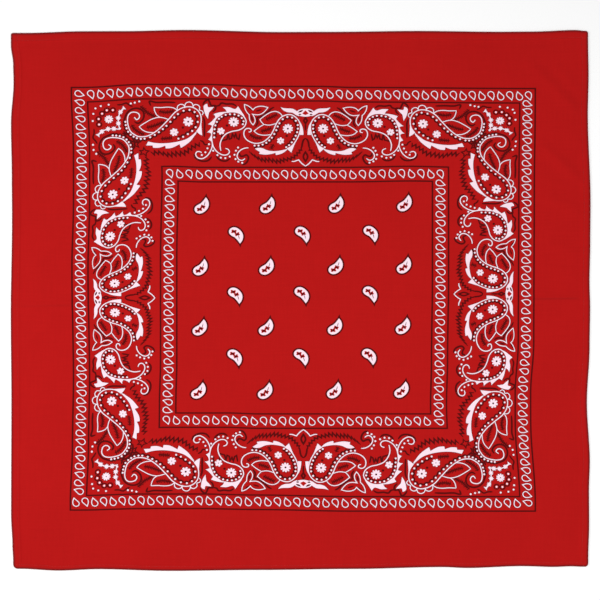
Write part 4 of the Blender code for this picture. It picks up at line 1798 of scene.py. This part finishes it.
class Bench:
    """Makes one material from named nodes."""

    def __init__(self, name: str) -> None:
        """Start an empty material."""
        self.material = bpy.data.materials.new(name)
        self.material.use_nodes = True
        self.tree = self.material.node_tree
        self.tree.nodes.clear()

    def add(self, kind: str, settings: dict[str, object] | None = None,
            inputs: dict[str | int, object] | None = None) -> bpy.types.Node:
        """Add a node.

        Args:
            kind: its type.
            settings: its own settings, which are set first.
            inputs: values or links of its sockets.

        Returns:
            The node.
        """
        node = self.tree.nodes.new(kind)
        for name, setting in (settings or {}).items():
            setattr(node, name, setting)
        for key, given in (inputs or {}).items():
            given = given.socket if isinstance(given, Value) else given
            if isinstance(given, bpy.types.NodeSocket):
                self.tree.links.new(given, node.inputs[key])
            else:
                node.inputs[key].default_value = given
        return node

    def value(self, kind: str, settings: dict[str, object] | None = None,
              inputs: dict[str | int, object] | None = None, output: str | int = 0) -> Value:
        """Add a node and wrap one of its outputs."""
        return Value(self, self.add(kind, settings, inputs).outputs[output])

    def mix(self, share: Value | float, first: object, second: object,
            blend: str = "MIX") -> bpy.types.NodeSocket:
        """Mix two colours.

        Args:
            share: how much of the second.
            first: a colour or a socket.
            second: a colour or a socket.
            blend: how they mix.

        Returns:
            The mixed colour.
        """
        node = self.add("ShaderNodeMix", {"data_type": "RGBA", "blend_type": blend},
                        {0: share, 6: first, 7: second})
        return node.outputs[2]

    def place(self) -> bpy.types.NodeSocket:
        """Give the place on the object, in metres."""
        return self.add("ShaderNodeTexCoord").outputs["Object"]

    def stretched(self, place: bpy.types.NodeSocket,
                  scale: Triple) -> bpy.types.NodeSocket:
        """Scale a place differently along each axis."""
        node = self.add("ShaderNodeVectorMath", {"operation": "MULTIPLY"}, {0: place, 1: scale})
        return node.outputs[0]

    def noise(self, place: bpy.types.NodeSocket, scale: float, detail: float = 2.0,
              rough: float = 0.5) -> Value:
        """Add noise at a place."""
        return self.value("ShaderNodeTexNoise", {"noise_dimensions": "3D"},
                          {"Vector": place, "Scale": scale, "Detail": detail, "Roughness": rough})

    def finish(self, colour: bpy.types.NodeSocket, relief: Value,
               surface: Surface) -> bpy.types.Material:
        """Close the material with a matt cloth surface.

        Args:
            colour: its colour.
            relief: the height of its threads.
            surface: how it takes the light.

        Returns:
            The material.
        """
        bump = self.add("ShaderNodeBump", None, {
            "Height": relief, "Strength": surface.strength, "Distance": surface.distance})
        shader = self.add("ShaderNodeBsdfPrincipled", None, {
            "Base Color": colour, "Roughness": surface.roughness, "Normal": bump.outputs[0],
            "Specular IOR Level": surface.gloss, "Sheen Weight": surface.sheen,
            "Sheen Roughness": surface.sheen_roughness, "Sheen Tint": surface.tint})
        self.add("ShaderNodeOutputMaterial", None, {0: shader.outputs[0]})
        return self.material


@dataclass(frozen=True)
class PlainWeave:
    """Plain-woven cotton: crossing threads, thicker slubs here and there, and a soft drift."""

    pitch: float = 0.00042
    warp: Triple = (620.0, 42.0, 40.0)
    weft: Triple = (38.0, 560.0, 40.0)
    drift_scale: float = 14.0
    drift_detail: float = 3.0
    drift_rough: float = 0.55
    slub_range: Pair = (0.32, 0.68)
    drift_range: Pair = (0.25, 0.75)
    thread_relief: float = 0.35

    def threads(self, bench: Bench, place: bpy.types.NodeSocket) -> Value:
        """Give the height of the threads as they pass over and under one another."""
        parts = bench.add("ShaderNodeSeparateXYZ", None, {0: place})
        turns = math.tau / (2.0 * self.pitch)
        across = (Value(bench, parts.outputs[0]) * turns).sine()
        along = (Value(bench, parts.outputs[1]) * turns).sine()
        return across * along * 0.5 + 0.5

    def slubs(self, bench: Bench, place: bpy.types.NodeSocket) -> Value:
        """Give the uneven threads of warp and weft, about 0.5 everywhere."""
        warp = bench.noise(bench.stretched(place, self.warp), 1.0)
        weft = bench.noise(bench.stretched(place, self.weft), 1.0)
        return (warp + weft) * 0.5

    def drift(self, bench: Bench, place: bpy.types.NodeSocket) -> Value:
        """Give the slow change of tone over the cloth, about 0.5 everywhere."""
        return bench.noise(place, self.drift_scale, self.drift_detail, self.drift_rough)

    def show(self, bench: Bench, dark: Colour, light: Colour,
             slub_share: float) -> tuple[bpy.types.NodeSocket, Value]:
        """Colour the weave and give its relief.

        Args:
            bench: the material that is being made.
            dark: colour of the darkest threads.
            light: colour of the palest ones.
            slub_share: how much of the change of tone follows the threads; the drift has the rest.

        Returns:
            The colour, and the height of the threads.
        """
        place = bench.place()
        slubs, drift = self.slubs(bench, place), self.drift(bench, place)
        tone = (slubs.between(*self.slub_range) * slub_share
                + drift.between(*self.drift_range) * (1.0 - slub_share))
        relief = self.threads(bench, place) * self.thread_relief + slubs
        return bench.mix(tone, dark, light), relief


@dataclass(frozen=True)
class RedCotton:
    """Dyed red cotton, paler on the wrong side, with painted shade along its outer fold and its pressed
    line.
    """

    name: str
    light: Colour = (0.447, 0.0049, 0.0047, 1.0)
    dark: Colour = (0.393, 0.0039, 0.0037, 1.0)
    wrong: Colour = (0.420, 0.060, 0.050, 1.0)
    # Colour of the painted shade that the rim mark mixes in at the outer fold and the pressed line
    edge: Colour = (0.200, 0.0060, 0.0060, 1.0)
    weave: PlainWeave = PlainWeave()
    slub_share: float = 0.55
    surface: Surface = Surface(0.86, 0.35, 0.00012, 0.20, (1.0, 0.12, 0.10, 1.0))
    shaded: bool = True

    def material(self) -> bpy.types.Material:
        """Make the material.

        Returns:
            The material, which reads the sheet's own marks for its wrong side and for the painted shade at
            its rim and pressed line.
        """
        bench = Bench(self.name)
        colour, relief = self.weave.show(bench, self.dark, self.light, self.slub_share)
        if self.shaded:
            # The rim mark is painted shade: darker at the outermost fold and along the pressed line
            rim = bench.value("ShaderNodeAttribute", {"attribute_name": "rim"}, output="Fac")
            wrong = bench.value("ShaderNodeAttribute", {"attribute_name": "wrong_side"}, output="Fac")
            colour = bench.mix(rim, colour, self.edge)
            colour = bench.mix(wrong, colour, self.wrong)
        return bench.finish(colour, relief, self.surface)


@dataclass(frozen=True)
class PrintInk:
    """Printed ink that has soaked into the weave."""

    name: str
    light: Colour
    dark: Colour
    sheen: float
    weave: PlainWeave = PlainWeave()
    slub_share: float = 0.7
    surface: Surface = Surface(0.80, 0.30, 0.00012, 0.0, (1.0, 0.9, 0.9, 1.0))

    def material(self) -> bpy.types.Material:
        """Make the material.

        Returns:
            The material.
        """
        bench = Bench(self.name)
        colour, relief = self.weave.show(bench, self.dark, self.light, self.slub_share)
        return bench.finish(colour, relief, replace(self.surface, sheen=self.sheen))


@dataclass(frozen=True)
class SewingThread:
    """Twisted red sewing thread."""

    name: str = "hem_thread"
    light: Colour = (0.50, 0.016, 0.014, 1.0)
    dark: Colour = (0.30, 0.008, 0.008, 1.0)
    twist: float = 0.0005
    grain: float = 260.0
    grain_range: Pair = (0.3, 0.7)
    surface: Surface = Surface(0.6, 0.5, 0.00008, 0.3, (1.0, 0.6, 0.6, 1.0))

    def material(self) -> bpy.types.Material:
        """Make the material.

        Returns:
            The material, with the plies of the thread as slanting ridges.
        """
        bench = Bench(self.name)
        place = bench.place()
        parts = bench.add("ShaderNodeSeparateXYZ", None, {0: place})
        run = Value(bench, parts.outputs[0]) + Value(bench, parts.outputs[1])
        plies = (run * (math.tau / self.twist)).sine() * 0.5 + 0.5
        tone = bench.noise(place, self.grain).between(*self.grain_range)
        return bench.finish(bench.mix(tone, self.dark, self.light), plies, self.surface)


PANEL_COTTON = RedCotton("panel_cotton")
HEM_COTTON = RedCotton("hem_cotton", (0.420, 0.0054, 0.0052, 1.0), (0.365, 0.0042, 0.0041, 1.0),
                       shaded=False)
HEM_THREAD = SewingThread()
WHITE_INK = PrintInk("white_print", (0.92, 0.75, 0.83, 1.0), (0.86, 0.65, 0.74, 1.0), 0.1)
DARK_INK = PrintInk("dark_print", (0.100, 0.0008, 0.0012, 1.0), (0.075, 0.0005, 0.0008, 1.0), 0.0)


# ---- The whole bandana, and the studio ----

@dataclass
class Bandana:
    """The bandana: sheet, turned hems, stitching and print."""

    form: ClothForm = ClothForm()
    body: str = "root"
    cut: Pair = (0.5900, 0.5520)
    # The painted shade at the rim: how far inside the outline it lies, how wide it spreads and where it
    # ends
    shade_inset: float = 0.00095
    shade_spread: float = 0.0011
    shade_end: float = 0.004
    # The painted shade along the pressed line: how far inside the outline it starts, and its strength left
    # and right
    pressed_shade_inset: float = 0.002
    pressed_shade_left: float = 0.12
    pressed_shade_right: float = 0.30

    def build(self) -> None:
        """Build and dress every piece."""
        hems = {side: TurnedHem(self.form, side).build() for side in Side}
        cloth = Cloth(self.form).build()
        # Painted shade at the outermost fold and along the pressed line
        self._mark_painted_shade(cloth)
        self._dress([cloth], PANEL_COTTON)
        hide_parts("panel")
        self._dress(list(hems.values()), HEM_COTTON)
        for side, hem in hems.items():
            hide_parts(f"hem_{side.name.lower()}")
        stitches = [Stitching(self.form, side).build() for side in Side]
        self._dress(stitches, HEM_THREAD)
        films = [pair for film in BandanaPrint(self.form).films() for pair in film.build().items()]
        self._dress([piece for ink, piece in films if ink is Ink.WHITE], WHITE_INK)
        self._dress([piece for ink, piece in films if ink is not Ink.WHITE], DARK_INK)

    def _dress(self, pieces: Iterable[bpy.types.Object],
               finish: RedCotton | PrintInk | SewingThread) -> None:
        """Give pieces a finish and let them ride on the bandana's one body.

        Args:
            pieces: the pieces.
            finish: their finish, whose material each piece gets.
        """
        material = finish.material()
        for piece in pieces:
            piece.data.materials.append(material)
            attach(piece, self.body)

    def _mark_painted_shade(self, cloth: bpy.types.Object) -> None:
        """Mark where shade is painted into the colour: at the outermost fold and along the pressed line
        across.
        """
        half_x, half_y = self.form.half
        flat_x, flat_y = (cloth.data.attributes[name].data for name in ("flat_x", "flat_y"))
        rim = cloth.data.attributes.new("rim", "FLOAT", "POINT")
        pressed = self.form.pressed_lines[0]
        for mark, x, y in zip(rim.data, flat_x, flat_y):
            inset = min(half_x - abs(x.value), half_y - abs(y.value))
            if inset <= self.shade_end:
                mark.value = math.exp(-((inset - self.shade_inset) / self.shade_spread) ** 2)
            if abs(x.value) > self.form.pressed_shade_from and inset > self.pressed_shade_inset:
                strength = self.pressed_shade_right if x.value > 0.0 else self.pressed_shade_left
                mark.value += strength * pressed.height(x.value, y.value) / pressed.rise


@dataclass(frozen=True)
class SoftLight:
    """A large soft lamp that points at the cloth."""

    name: str
    place: Triple
    size: float
    power: float

    def build(self) -> None:
        """Hang the lamp."""
        lamp = bpy.data.lights.new(self.name, "AREA")
        lamp.shape = "SQUARE"
        lamp.size = self.size
        lamp.energy = self.power
        holder = bpy.data.objects.new(self.name, lamp)
        holder.location = self.place
        holder.rotation_euler = (-Vector(self.place)).to_track_quat("-Z", "Y").to_euler()
        holder.visible_camera = False
        bpy.context.scene.collection.objects.link(holder)


@dataclass(frozen=True)
class Studio:
    """A pale floor, plain soft light and a camera straight above."""

    lens: float = 85.0
    sensor: float = 36.0
    camera_place: Triple = (-0.000675, 0.00048, 1.3667)
    floor_half: float = 6.0
    floor_colour: Colour = (0.985, 0.985, 0.985, 1.0)
    floor_roughness: float = 0.9
    floor_gloss: float = 0.1
    sky_colour: Colour = (1.0, 1.0, 1.0, 1.0)
    sky: float = 0.57
    see_to: float = 100.0
    lamps: tuple[SoftLight, ...] = (
        SoftLight("key", (-0.72, -0.05, 0.56), 0.30, 2.75),
        SoftLight("fill", (0.26, -0.16, 0.90), 0.50, 3.8),
    )

    def build(self) -> None:
        """Set the floor, the lights and the camera."""
        scene = bpy.context.scene
        scene.view_settings.view_transform = "Standard"
        scene.view_settings.look = "None"
        world = bpy.data.worlds.new("sky")
        world.use_nodes = True
        world.node_tree.nodes["Background"].inputs[0].default_value = self.sky_colour
        world.node_tree.nodes["Background"].inputs[1].default_value = self.sky
        scene.world = world
        for lamp in self.lamps:
            lamp.build()
        self._floor()
        camera = bpy.data.cameras.new("above")
        camera.lens, camera.sensor_width = self.lens, self.sensor
        camera.clip_end = self.see_to
        holder = bpy.data.objects.new("above", camera)
        holder.location = self.camera_place
        scene.collection.objects.link(holder)
        scene.camera = holder

    def _floor(self) -> None:
        """Lay the pale floor, a little below the cloth."""
        mesh = bmesh.new()
        bmesh.ops.create_grid(mesh, x_segments=1, y_segments=1, size=self.floor_half)
        floor = finished("floor", mesh)
        bench = Bench("pale_floor")
        surface = bench.add("ShaderNodeBsdfPrincipled", None, {
            "Base Color": self.floor_colour, "Roughness": self.floor_roughness,
            "Specular IOR Level": self.floor_gloss})
        bench.add("ShaderNodeOutputMaterial", None, {0: surface.outputs[0]})
        floor.data.materials.append(bench.material)


def main() -> None:
    """Build and light the bandana."""
    logging.basicConfig(level=logging.INFO, format="%(message)s")
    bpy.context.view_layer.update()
    Bandana().build()
    Studio().build()


if __name__ == "__main__":
    main()
